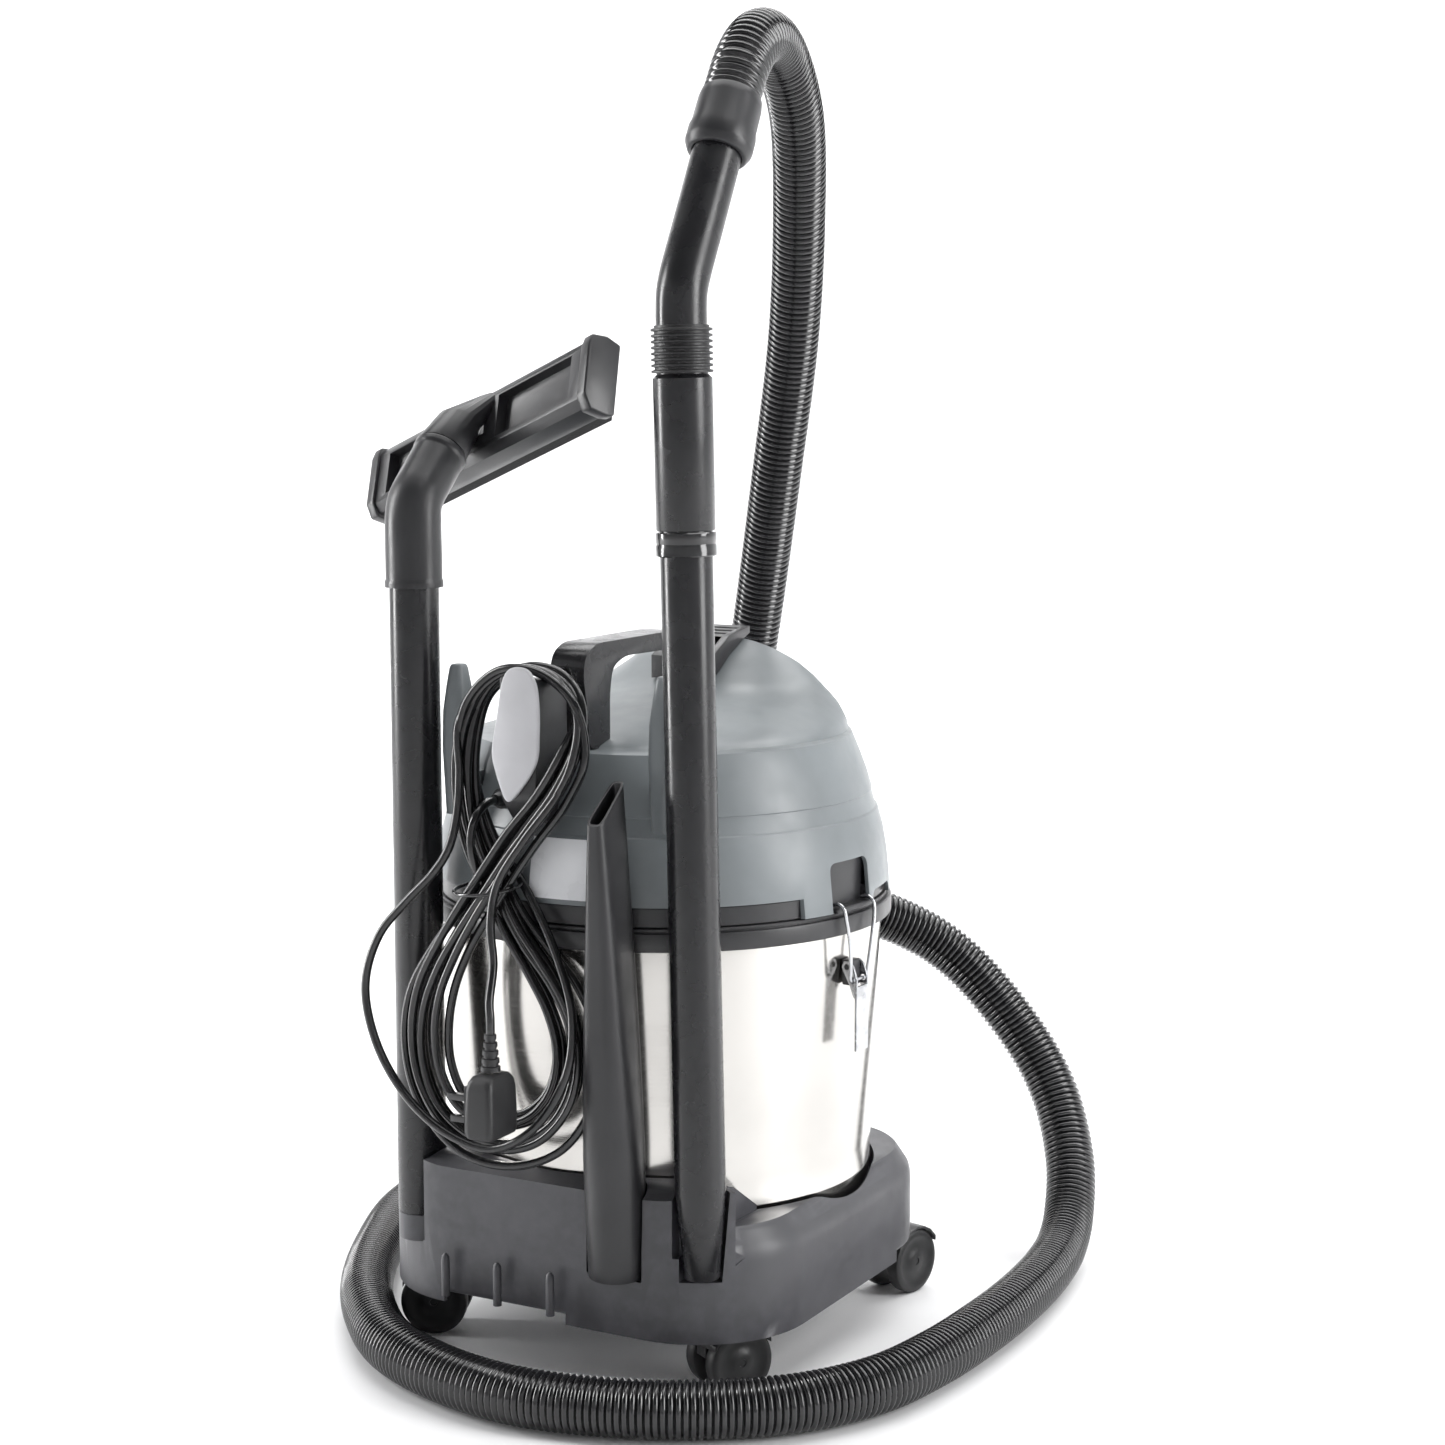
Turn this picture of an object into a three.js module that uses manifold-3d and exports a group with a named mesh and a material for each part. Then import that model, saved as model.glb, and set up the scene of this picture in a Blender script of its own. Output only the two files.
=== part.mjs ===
// A wet and dry shop vacuum: a steel drum in a wheeled plastic chassis, a domed motor head held down
// by two toggle latches, and its hose, wands, floor nozzle, crevice tool and mains cord put away on it.
//
// Millimetres, +Z up, the floor is z = 0. -Y is the back, where the tools are kept, and +Y is the
// front, with the switch and the inlet. Everything is drawn with the drum's axis at x = y = 0, and the
// finished group is moved so that its origin is under the middle of the machine without its cords.
import * as THREE from "three";
import { mergeVertices } from "three/addons/utils/BufferGeometryUtils.js";
import Module from "manifold-3d";

const wasm = await Module();
wasm.setup();

// ---------------------------------------------------------------- driving dimensions
const GAP = 0.3; // air between neighbours that touch
const DRUM = { footRadius: 168, topRadius: 177, wall: 1.6, floorZ: 118, topZ: 344 };
const CHASSIS = {
  halfWidth: 178, rearY: -196, frontY: 178, cornerRadius: 90, wall: 4,
  skirtZ: 60, lipZ: 52, waistZ: 122, rimZ: 138, rimInset: 12, plateZ: 112.5,
  rearDeckZ: 156, deckRise: 13, deckHalf: 140,
};
const RIM = { inner: 171, outer: 185, bottomZ: 344.4, bandZ: 358.8, topZ: 361.7 };
const BASE = {
  inner: 60, outer: 179, wallOuter: 175.5, bottomZ: 362.2, plateZ: 366.2, skirtZ: 377.4, topZ: 404,
};
// Outer radius of the motor head's cover at each height.
const COVER = [
  [362.6, 184], [378, 182.6], [394, 181.1], [413, 177.8], [429, 173.4], [431, 171.6], [443, 168.2],
  [445, 168.6], [471.5, 159.6], [491, 151.5], [510, 142.5], [529, 128], [539, 118], [548.5, 104.6],
  [556, 92], [562, 70],
];
const COVER_WALL = 3;
const SHELF_Z = 489; // the flat shelf round the back of the cover
// The dome in front of the shelf: at each height an ellipse about y, with half axes across and along.
const DOME = [
  [480, 20, 146, 148], [491, 20, 140, 142], [500, 42, 132, 120], [510, 65, 118, 98], [520, 85, 102, 68],
  [532, 94, 86, 54], [544, 100, 70, 42], [555, 108, 52, 28], [562, 112, 36, 15],
];
const SIDE_POST = { x: 92, y: -155, rings: [[436, 9], [488, 11], [516, 10.4], [549, 6], [552, 4.6]] };
const HOOK_X = -8;
const LATCH = { heading: -6.5, pivot: [182.5, 318], bailPivot: [188, 308], halfSpan: 21, leverLength: 66 };
const WHEEL = { radius: 27, inner: 8, outer: 20.5, axle: 3 };
const HOOD = { inner: 28.2, outer: 30.4, halfWidth: 22 };
const CASTERS = {
  front_right: { x: 137, y: 136, trail: 18, heading: 77 },
  front_left: { x: -137, y: 136, trail: 18, heading: 70 },
  rear_right: { x: 135, y: -111, trail: 14, heading: 240 },
  rear_left: { x: -135, y: -109, trail: 14, heading: 205 },
};
const TUBE = { outer: 19.2, inner: 17.2 }; // the two 0.5 m wands
const LEFT_WAND = { x: -125, y: -166, bottomZ: 117, topZ: 648 };
const RIGHT_WAND = { x: 132, y: -172, bottomZ: 103, lean: 1.33, taper: 62, top: 585 };
const ELBOW = { radius: 21.8, cuffZ: 611, bendZ: 675, reach: 55 };
const NOZZLE = { swivel: 26.4, tilt: 20.8, halfLength: 140, depth: 59, top: -28, sole: -52 };
const CREVICE = {
  foot: [63, -181, 98], head: [70, -205, 474], footRadius: 21.5, shoulderAt: 90, shoulder: 23.5,
  flat: [5.5, 19], length: 378,
};
const HANDLE = { bend: 730, angle: 30, end: 150, cuffStart: 108, cuffEnd: 176, cuffRadius: 25.5 };
const HOSE = { diameter: 44, floorZ: 22.2, start: [0, 233, 300] };
const CORD = { diameter: 6.8 };
const GLAND = { x: -46, z: 452, wallY: -164, collarY: -168, tipY: -176 };
const HANK = { thickness: 20, topY: -184, lean: 3.5, topZ: 560 };
const ROUND = 40; // sides of the large turned pieces

// ---------------------------------------------------------------- shape helpers
const vec = (p) => new THREE.Vector3(...p);
const radians = THREE.MathUtils.degToRad;

/** A closed geometry as a manifold-3d solid that faces out. */
function solid(geometry) {
  const bare = new THREE.BufferGeometry().setAttribute("position", geometry.getAttribute("position"));
  if (geometry.index) bare.setIndex(geometry.index);
  const merged = mergeVertices(bare, 1e-3);
  const corners = [];
  const index = merged.index.array;
  for (let i = 0; i < index.length; i += 3) {
    const [a, b, c] = [index[i], index[i + 1], index[i + 2]];
    if (a !== b && b !== c && c !== a) corners.push(a, b, c);
  }
  const build = (triangles) =>
    new wasm.Manifold(
      new wasm.Mesh({
        numProp: 3,
        vertProperties: merged.attributes.position.array,
        triVerts: new Uint32Array(triangles),
      }),
    );
  const made = build(corners);
  return made.volume() > 0 ? made : build(corners.reverse());
}

/** A solid back as a three.js geometry. */
function geometryOf(body) {
  const mesh = body.getMesh();
  const stride = mesh.numProp;
  const positions = new Float32Array(mesh.numVert * 3);
  for (let i = 0; i < mesh.numVert; i++) {
    positions.set(mesh.vertProperties.subarray(i * stride, i * stride + 3), i * 3);
  }
  const geometry = new THREE.BufferGeometry();
  geometry.setAttribute("position", new THREE.BufferAttribute(positions, 3));
  geometry.setIndex(new THREE.BufferAttribute(new Uint32Array(mesh.triVerts), 1));
  geometry.computeVertexNormals();
  return geometry;
}

const union = (bodies) => bodies.reduce((sum, body) => sum.add(body));
const block = (x0, x1, y0, y1, z0, z1) =>
  solid(
    new THREE.BoxGeometry(x1 - x0, y1 - y0, z1 - z0).translate((x0 + x1) / 2, (y0 + y1) / 2, (z0 + z1) / 2),
  );

/** A piece turned about +Z from [radius, z] points that start and end on the axis, or close on themselves. */
function turned(profile, sides = ROUND) {
  const points = profile.map(([r, z]) => new THREE.Vector2(r, z));
  return solid(new THREE.LatheGeometry(points, sides).rotateX(Math.PI / 2));
}

/** A turned ring: its [radius, z] outline is closed here. */
const ring = (outline, sides = ROUND) => turned([...outline, outline[0]], sides);

/** A cone or cylinder from a to b. */
function rod(a, b, radius, sides = 16, endRadius = radius) {
  const from = vec(a);
  const along = vec(b).sub(from);
  const geometry = new THREE.CylinderGeometry(endRadius, radius, along.length(), sides);
  const turn = new THREE.Quaternion().setFromUnitVectors(vec([0, 1, 0]), along.clone().normalize());
  geometry.applyQuaternion(turn);
  const middle = from.addScaledVector(along, 0.5);
  return solid(geometry.translate(middle.x, middle.y, middle.z));
}

const post = (x, y, z0, z1, radius, sides = 24, topRadius = radius) =>
  rod([x, y, z0], [x, y, z1], radius, sides, topRadius);

/** An [x, y] outline pulled up from z0 to z1. */
function prism(outline, z0, z1) {
  const shape = new THREE.Shape(outline.map(([x, y]) => new THREE.Vector2(x, y)));
  return solid(new THREE.ExtrudeGeometry(shape, { depth: z1 - z0, bevelEnabled: false }).translate(0, 0, z0));
}

/** A [y, z] outline pulled along X from x0 to x1. */
function sidePrism(outline, x0, x1) {
  const shape = new THREE.Shape(outline.map(([y, z]) => new THREE.Vector2(y, z)));
  const geometry = new THREE.ExtrudeGeometry(shape, { depth: x1 - x0, bevelEnabled: false });
  return solid(geometry.rotateX(Math.PI / 2).rotateZ(Math.PI / 2).translate(x0, 0, 0));
}

/** A round bar along a curve. */
function bar(curve, radius, sides, steps) {
  const section = new THREE.Shape(
    Array.from({ length: sides }, (_, i) => {
      const angle = (2 * Math.PI * i) / sides;
      return new THREE.Vector2(radius * Math.cos(angle), radius * Math.sin(angle));
    }),
  );
  return solid(new THREE.ExtrudeGeometry(section, { steps, extrudePath: curve, bevelEnabled: false }));
}

const through = (points) => new THREE.CatmullRomCurve3(points.map(vec), false, "centripetal");

/** A skin over rings of equal numbers of points, with flat ends. */
function loft(rings) {
  const count = rings[0].length;
  const positions = rings.flat(2);
  const triangles = [];
  for (let level = 0; level + 1 < rings.length; level++) {
    for (let i = 0; i < count; i++) {
      const next = (i + 1) % count;
      const [a, b] = [level * count + i, level * count + next];
      const [c, d] = [a + count, b + count];
      triangles.push(a, b, d, a, d, c);
    }
  }
  const last = (rings.length - 1) * count;
  for (let i = 1; i + 1 < count; i++) {
    triangles.push(0, i + 1, i, last, last + i, last + i + 1);
  }
  const geometry = new THREE.BufferGeometry();
  geometry.setAttribute("position", new THREE.Float32BufferAttribute(positions, 3));
  geometry.setIndex(triangles);
  return solid(geometry);
}

/** Rounded rectangle of half sizes a and b, corner radius r, as [x, y] points. */
function roundedRectangle(a, b, r, perCorner = 5, centreX = 0, centreY = 0) {
  const points = [];
  [[1, 1], [-1, 1], [-1, -1], [1, -1]].forEach(([sx, sy], corner) => {
    for (let i = 0; i < perCorner; i++) {
      const angle = (corner + i / (perCorner - 1)) * (Math.PI / 2);
      points.push([
        centreX + sx * (a - r) + r * Math.cos(angle),
        centreY + sy * (b - r) + r * Math.sin(angle),
      ]);
    }
  });
  return points;
}

const root = new THREE.Group();

/** Adds a finished solid to a group as one named, coloured mesh. */
function part(name, body, finish, group = root) {
  const mesh = new THREE.Mesh(geometryOf(body), finish);
  mesh.name = name;
  group.add(mesh);
  return mesh;
}

const finish = (color, roughness, metalness = 0) =>
  new THREE.MeshStandardMaterial({ color, roughness, metalness });
const BLACK_PLASTIC = finish(0x26272a, 0.5);
const GLOSS_BLACK = finish(0x141416, 0.2);
const CHASSIS_GREY = finish(0x3c3d42, 0.6);
const COVER_GREY = finish(0x7f8a8d, 0.5);
const STEEL = finish(0xd6d2ca, 0.22, 1);
const CHROME = finish(0xc9ccd0, 0.12, 1);
const HOSE_BLACK = finish(0x17181a, 0.3);
const RUBBER = finish(0x1b1b1d, 0.7);
const BRISTLE = finish(0x101011, 0.9);
const PAPER = finish(0xe3d9b8, 0.9);
const LABEL = finish(0xb9bcc0, 0.35, 0.6);
const FLOAT = finish(0xd7d7d2, 0.4);
const COPPER = finish(0x8a5a3a, 0.4, 1);

// ---------------------------------------------------------------- chassis and casters
/** The chassis outline, drawn in by inset all round. */
function chassisOutline(inset) {
  const { halfWidth, rearY, frontY, cornerRadius } = CHASSIS;
  const halfDepth = (frontY - rearY) / 2 - inset;
  return roundedRectangle(halfWidth - inset, halfDepth, cornerRadius - inset, 7, 0, (frontY + rearY) / 2);
}

const chassisRing = (inset, z) => chassisOutline(inset).map(([x, y]) => [x, y, z]);

/** The line that the crevice tool leans along, from its foot, at a distance s. */
function creviceAt(s) {
  const foot = vec(CREVICE.foot);
  const direction = vec(CREVICE.head).sub(foot).normalize();
  return foot.addScaledVector(direction, s).toArray();
}

function chassis() {
  const { skirtZ, lipZ, waistZ, rimZ, rimInset, plateZ, wall, rearY } = CHASSIS;
  const { rearDeckZ, deckRise, deckHalf } = CHASSIS;
  const deckProfile = (drop) => [
    [rearY - 10, 0],
    [rearY - 10, rearDeckZ - drop],
    [rearY, rearDeckZ - drop],
    [-170, rearDeckZ + deckRise - drop],
    [-140, rearDeckZ + deckRise - 2 - drop],
    [-95, rimZ - drop],
    [-95, 0],
  ];
  const tub = loft([
    chassisRing(2, skirtZ), chassisRing(0, skirtZ + 5), chassisRing(0, waistZ), chassisRing(rimInset, rimZ),
  ]);
  const deck = prism(chassisOutline(0), skirtZ + 5, 200)
    .intersect(sidePrism(deckProfile(0), -deckHalf, deckHalf));
  const hollow = prism(chassisOutline(wall), 0, plateZ);
  const deckHollow = prism(chassisOutline(wall), 0, 200)
    .intersect(sidePrism(deckProfile(wall), wall - deckHalf, deckHalf - wall))
    .subtract(post(0, 0, 0, 220, DRUM.footRadius + 8.5, ROUND));
  const lipBand = prism(chassisOutline(0), lipZ, skirtZ + 6).subtract(prism(chassisOutline(wall), 0, 200));
  const lip = (x0, x1) => lipBand.intersect(block(x0, x1, rearY - 5, 72, 0, 100));
  // Sockets for the tools, each a boss with a pocket that is open to the back.
  const { x: lx, y: ly } = LEFT_WAND;
  const { x: rx, y: ry } = RIGHT_WAND;
  const footprint = prism(chassisOutline(0), 0, 220).intersect(sidePrism(deckProfile(0), -200, 200));
  const bosses = union([
    post(lx, ly, 91, 200, 25), rod(creviceAt(-7), creviceAt(90), CREVICE.shoulder + 5, 24),
    post(rx, ry, 94, 200, 25),
  ]).intersect(footprint);
  const pockets = union([
    post(lx, ly, 97, 220, 20.7), block(lx - 16, lx + 12, rearY - 20, ly, 97, 220),
    rod(creviceAt(-1), creviceAt(120), CREVICE.shoulder + 1, 24),
    block(CREVICE.foot[0] - 23.5, CREVICE.foot[0] + 24.5, rearY - 20, CREVICE.foot[1], 97, 220),
    post(rx - 0.5, ry, 100, 172, 15.5, 24, 21.5), block(rx - 15, rx + 14, rearY - 20, ry, 100, 118),
    block(rx - 20, rx + 19, rearY - 20, ry, 118, 220),
  ]);
  const peg = post(lx, ly, 96, 150, 16.2).add(post(lx, ly, 96, LEFT_WAND.bottomZ - GAP, 18.8));
  const ribs = [-84, -36, 12].map((x) => post(x, rearY + 0.8, skirtZ + 1, 95, 3.4, 8));
  const stems = Object.values(CASTERS);
  const stemBosses = stems.map(({ x, y }) => post(x, y, 69, plateZ + 2, 14));
  const stemHoles = stems.map(({ x, y }) => post(x, y, 50, 101, 5.5, 16));
  const body = union([tub, deck])
    .subtract(hollow)
    .subtract(deckHollow)
    .add(union([lip(20, 200), lip(-200, -92), ...ribs, bosses, ...stemBosses]))
    .subtract(post(0, 0, DRUM.floorZ - GAP, 260, DRUM.footRadius + 4.5, ROUND))
    .subtract(pockets)
    .add(peg)
    .subtract(union(stemHoles));
  part("chassis", body, CHASSIS_GREY);
}

/** One swivelling twin-wheel caster: a hooded fork on a stem, and its pair of wheels on one axle. */
function caster(place, { x, y, trail, heading }) {
  const group = new THREE.Group();
  group.position.set(x, y, 0);
  group.rotation.z = radians(heading); // the wheels trail along this group's own +X
  root.add(group);
  const axleAt = (half) => [[trail, -half, WHEEL.radius], [trail, half, WHEEL.radius]];
  const hub = (radius, half, sides = 20) => rod(...axleAt(half), radius, sides);
  const above = block(trail - 25, trail + 25, -30, 30, WHEEL.radius + 4, 80);
  const fork = union([
    hub(HOOD.outer, HOOD.halfWidth).subtract(hub(HOOD.inner, 40)).intersect(above),
    hub(HOOD.outer - 1, 6.5).intersect(above),
    hub(9, 6.5, 12),
    block(trail - 9, trail + 9, -6.5, 6.5, WHEEL.radius, WHEEL.radius + 6),
    post(0, 0, 52, 67.6, 11, 16),
    post(0, 0, 60, 98, 5, 12),
  ])
    .subtract(hub(WHEEL.axle + 0.3, 20, 12))
    .subtract(hub(HOOD.inner, 40).subtract(hub(60, 6.5)));
  part(`caster_fork_${place}`, fork, BLACK_PLASTIC, group);
  const { radius, inner, outer } = WHEEL;
  const disc = (side) => rod([trail, side * inner, radius], [trail, side * outer, radius], radius, 24);
  part(`caster_wheel_${place}`, union([disc(-1), disc(1), hub(WHEEL.axle, 10, 12)]), RUBBER, group);
}

// ---------------------------------------------------------------- drum, rim and latches
/** The drum's outer radius at a height. */
const drumRadius = (z) =>
  DRUM.footRadius + ((DRUM.topRadius - DRUM.footRadius) * (z - 126)) / (DRUM.topZ - 126);

function drum() {
  const { wall, floorZ, topZ, topRadius } = DRUM;
  const shell = turned([
    [0, floorZ], [160, floorZ], [drumRadius(126), 126], [topRadius, topZ],
    [topRadius - wall, topZ], [drumRadius(126) - wall, 127], [159.4, floorZ + 2.2], [0, floorZ + 2.2],
  ]);
  const [x, y, z] = HOSE.start;
  part("drum", shell.subtract(rod([x, 100, z], [x, y, z], 24.2, 24)), STEEL);
  const { inner, outer, bottomZ, bandZ, topZ: rimTop } = RIM;
  part(
    "drum_rim",
    ring([
      [inner, bottomZ], [outer - 0.6, bottomZ], [outer, bottomZ + 1.5], [outer, bandZ],
      [181, bandZ], [181, rimTop], [178, rimTop], [178, bandZ - 0.3], [inner, bandZ - 0.3],
    ]),
    BLACK_PLASTIC,
  );
  part("head_seal", ring([[171.6, bandZ], [177.6, bandZ], [177.6, rimTop], [171.6, rimTop]]), RUBBER);
}

/** A toggle latch on one side: base and pin on the drum, lever, and the wire bail that holds the head. */
function latch(side, sign) {
  const { heading, pivot, bailPivot, halfSpan, leverLength } = LATCH;
  const [px, pz] = pivot;
  const [qx, qz] = bailPivot;
  const mirror = new THREE.Group();
  mirror.scale.x = sign;
  root.add(mirror);
  const group = new THREE.Group();
  group.rotation.z = radians(heading);
  mirror.add(group);
  const across = (radius, half, px2 = px, pz2 = pz) =>
    rod([px2, -half, pz2], [px2, half, pz2], radius, 12);
  const base = block(170, 185.6, -6, 6, 303, 323)
    .subtract(post(0, 0, 200, 400, DRUM.topRadius + 0.2, 96))
    .add(across(2, 8.6));
  part(`latch_base_${side}`, base, BLACK_PLASTIC, group);

  const cheek = [
    [-4.6, 0], [-2.5, 4], [2, 4.6], [6, 1], [9.5, -9], [9.5, -24], [6.5, -24], [2.5, -14], [-3, -4],
  ].map(([x, z]) => [px + x, pz + z]);
  const cheekAt = (from, to) => {
    const shape = new THREE.Shape(cheek.map(([x, z]) => new THREE.Vector2(x, z)));
    const plate = new THREE.ExtrudeGeometry(shape, { depth: to - from, bevelEnabled: false });
    return solid(plate.rotateX(Math.PI / 2).translate(0, to, 0));
  };
  const lever = union([
    cheekAt(-8.4, -6.5),
    cheekAt(6.5, 8.4),
    block(px + 7.5, px + 9.5, -8.4, 8.4, pz - leverLength, pz - 15),
  ])
    .subtract(across(2.3, 20))
    .subtract(across(2.4, 20, qx, qz));
  part(`latch_lever_${side}`, lever, CHROME, group);

  const leg = (s) => [
    [177.5, s * halfSpan, 368.4], [183, s * halfSpan, 369.4], [187.8, s * halfSpan, 366],
    [189.6, s * (halfSpan - 1), 357], [190, s * (halfSpan - 6), 336],
    [189, s * 12.5, 318], [qx, s * 11, qz], [qx, s * 5, qz],
  ];
  const wire = through([...leg(-1), ...leg(1).reverse()]);
  part(`latch_bail_${side}`, bar(wire, 1.5, 6, 28), CHROME, group);
}

// ---------------------------------------------------------------- motor head
/** The cover's radius at a height, drawn in by inset. */
function coverRadius(z, inset = 0) {
  const above = COVER.findIndex(([height]) => height >= z);
  const [z1, r1] = COVER[above];
  const [z0, r0] = COVER[Math.max(above - 1, 0)];
  return r0 + ((r1 - r0) * (z - z0)) / (z1 - z0 || 1) - inset;
}

/** The pockets cut in the head where the two latches hook on, both sides at once. */
const latchPockets = (bottomZ, topZ) => block(-200, 200, -47, 5, bottomZ, topZ);

/** The dome that rises from the shelf, drawn in by inset all round and on top. */
function dome(inset) {
  const sides = 36;
  return loft(
    DOME.map(([z, centre, across, along]) =>
      Array.from({ length: sides }, (_, i) => {
        const angle = (2 * Math.PI * i) / sides;
        return [(across - inset) * Math.cos(angle), centre + (along - inset) * Math.sin(angle), z - inset];
      }),
    ),
  );
}

/** One of the two posts beside the wands, on a web that ties it to the cover. */
function sidePost(side) {
  const { x, y, rings } = SIDE_POST;
  const column = loft(
    rings.map(([z, r]) =>
      roundedRectangle(r, r * 1.15, r * 0.8, 4, side * x, y).map(([px, py]) => [px, py, z]),
    ),
  );
  const bearing = THREE.MathUtils.radToDeg(Math.atan2(y, side * x));
  return column.add(block(150, 176, -5, 5, 438, 468).rotate([0, 0, bearing]));
}

function motorHead() {
  const { inner, outer, wallOuter, bottomZ, plateZ, skirtZ, topZ } = BASE;
  const pan = ring([
    [inner, bottomZ], [outer, bottomZ], [outer, skirtZ], [wallOuter, skirtZ], [wallOuter, topZ],
    [wallOuter - 3, topZ], [wallOuter - 3, plateZ], [inner, plateZ],
  ]);
  const catchCut = latchPockets(plateZ, skirtZ + 5).subtract(post(0, 0, 300, 500, wallOuter, 96));
  const lugs = [1, -1].map((side) => {
    const reach = [side * 168, side * 184.5].sort((a, b) => a - b);
    return block(...reach, -24, 24, bottomZ, plateZ).rotate([0, 0, side * LATCH.heading]);
  });
  part("motor_base", pan.subtract(catchCut).add(union(lugs)), BLACK_PLASTIC);

  const envelope = turned([[0, COVER[0][0]], ...COVER.map(([z, r]) => [r, z]), [0, 564]]);
  const inside = turned([
    [0, 350],
    ...COVER.filter(([z]) => z < 540).map(([z, r]) => [r - COVER_WALL, z === COVER[0][0] ? 350 : z - 1]),
    [0, 539],
  ]);
  const below = (top) => block(-200, 200, -200, 200, 340, top);
  const outside = envelope
    .intersect(below(SHELF_Z).add(dome(0)))
    .add(sidePost(1))
    .add(sidePost(-1));
  const cavity = inside.intersect(below(SHELF_Z - COVER_WALL).add(dome(COVER_WALL + 1)));
  const rearNotch = block(-200, 200, -200, -75, 350, 378);
  const sideNotches = block(-200, 200, 12, 60, 350, 372);
  const cover = outside
    .subtract(cavity)
    .subtract(rearNotch)
    .subtract(sideNotches)
    .subtract(latchPockets(350, 401).subtract(post(0, 0, 300, 500, 150)));
  part("head_cover", cover, COVER_GREY);

  const labelHeights = [382, 394, 413, 427];
  const labelSide = (lift) => labelHeights.map((z) => [coverRadius(z) + lift, z]);
  const label = ring([...labelSide(0.5), ...labelSide(1.1).reverse()]);
  part("rating_plate", label.intersect(block(-12, 46, -200, 0, 300, 500)), LABEL);

  const pad = sidePrism([[30, 500], [30, 545], [60, 561], [96, 566], [96, 500]], -28, 28);
  const slots = [44, 54, 64, 74, 84].map((y) => block(-22, 22, y, y + 4, 540, 580));
  const padAir = dome(-GAP - 0.4);
  part("exhaust_grille", pad.subtract(padAir).subtract(union(slots)), BLACK_PLASTIC);
  carryHandle();
  cableHook();
  const knob = rod([0, 176.5, 440], [0, 190, 440], 18, 20, 16).add(block(-4, 4, 180, 194, 426, 454));
  part("switch_knob", knob, BLACK_PLASTIC);
  const { x, z, wallY, collarY, tipY } = GLAND;
  const collar = rod([x, wallY, z], [x, collarY, z], 8, 16);
  const gland = collar.add(rod([x, collarY, z], [x, tipY, z], 6, 16, 4.4));
  part("cord_gland", gland, RUBBER);
}

function carryHandle() {
  const outline = [
    [-136, 489.4], [-140, 520], [-145, 548], [-140, 562], [-128, 570], [-12, 570], [20, 567],
    [29.6, 564], [29.6, 550], [20, 553], [-12, 556], [-78, 557], [-98, 551], [-107, 538], [-107, 492],
  ];
  part("carry_handle", sidePrism(outline, -15, 15).subtract(dome(-GAP)), BLACK_PLASTIC);
}

function cableHook() {
  const body = sidePrism(
    [
      [-202, 456], [-202, 549], [-196, 545], [-166, 541], [-158, 528], [-157, 491], [-160.5, 478],
      [-169, 456], [-173.5, 440], [-184, 438],
    ],
    HOOK_X - 16,
    HOOK_X + 16,
  );
  // The face plate leans in its own plane, with its widest point low on the left.
  const face = [
    [-9, 457], [-5, 457], [11, 475], [19.5, 490], [20.6, 524], [19, 547], [11, 558], [-3, 558], [-11, 549],
    [-16, 524], [-22.2, 492], [-17, 475],
  ];
  const shape = new THREE.Shape(face.map(([x, z]) => new THREE.Vector2(x, z)));
  const plate = new THREE.ExtrudeGeometry(shape, { depth: 4, bevelEnabled: false });
  part("cable_hook", body.add(solid(plate.rotateX(Math.PI / 2).translate(HOOK_X, -202, 0))), BLACK_PLASTIC);
}

/** What the head holds inside: fan housing, impeller, motor, float cage, float and filter. */
function insides() {
  part(
    "fan_housing",
    ring([[9, 390], [72, 390], [72, 366.5], [74, 366.5], [74, 392], [9, 392]], 32),
    BLACK_PLASTIC,
  );
  part(
    "motor",
    turned(
      [[0, 426], [4.7, 426], [4.7, 392.4], [38, 392.4], [50, 398], [50, 440], [30, 458], [0, 458]],
      32,
    ),
    COPPER,
  );
  part("motor_shaft", turned([[0, 369], [4, 369], [4, 424], [0, 424]], 16), STEEL);
  const blades = Array.from({ length: 8 }, (_, i) => block(10, 61, -1, 1, 372, 380).rotate([0, 0, 45 * i]));
  const hub = ring(
    [[4.3, 370], [13, 370], [13, 379], [64, 379], [64, 382], [13, 382], [13, 388], [4.3, 388]],
    24,
  );
  part("impeller", hub.add(union(blades)), STEEL);
  const bars = Array.from({ length: 6 }, (_, i) => {
    const angle = (i * Math.PI) / 3;
    const foot = [50 * Math.cos(angle), 50 * Math.sin(angle), 262];
    return rod(foot, [foot[0], foot[1], 360], 3.2, 6);
  });
  part(
    "float_cage",
    union([
      ring([[30, 356], [57, 356], [57, 361.8], [30, 361.8]], 24),
      turned([[0, 258], [57, 258], [57, 263], [0, 263]], 24),
      ...bars,
    ]),
    BLACK_PLASTIC,
  );
  part("float_ball", solid(new THREE.SphereGeometry(32, 16, 9).translate(0, 0, 296)), FLOAT);
  const pleats = 40;
  const folds = Array.from({ length: 2 * pleats }, (_, i) => {
    const angle = (Math.PI * i) / pleats;
    const radius = i % 2 ? 84 : 74;
    return [radius * Math.cos(angle), radius * Math.sin(angle)];
  });
  part("filter_cartridge", prism(folds, 262, 356).subtract(post(0, 0, 200, 400, 60, 32)), PAPER);
  part("filter_seal", ring([[59, 356.3], [86, 356.3], [86, 361.8], [59, 361.8]], 32), RUBBER);
  const cap = turned([[0, 249], [86, 249], [86, 261.7], [59, 261.7], [59, 257.6], [0, 257.6]], 32);
  part("filter_cap", cap, RUBBER);
}

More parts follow.
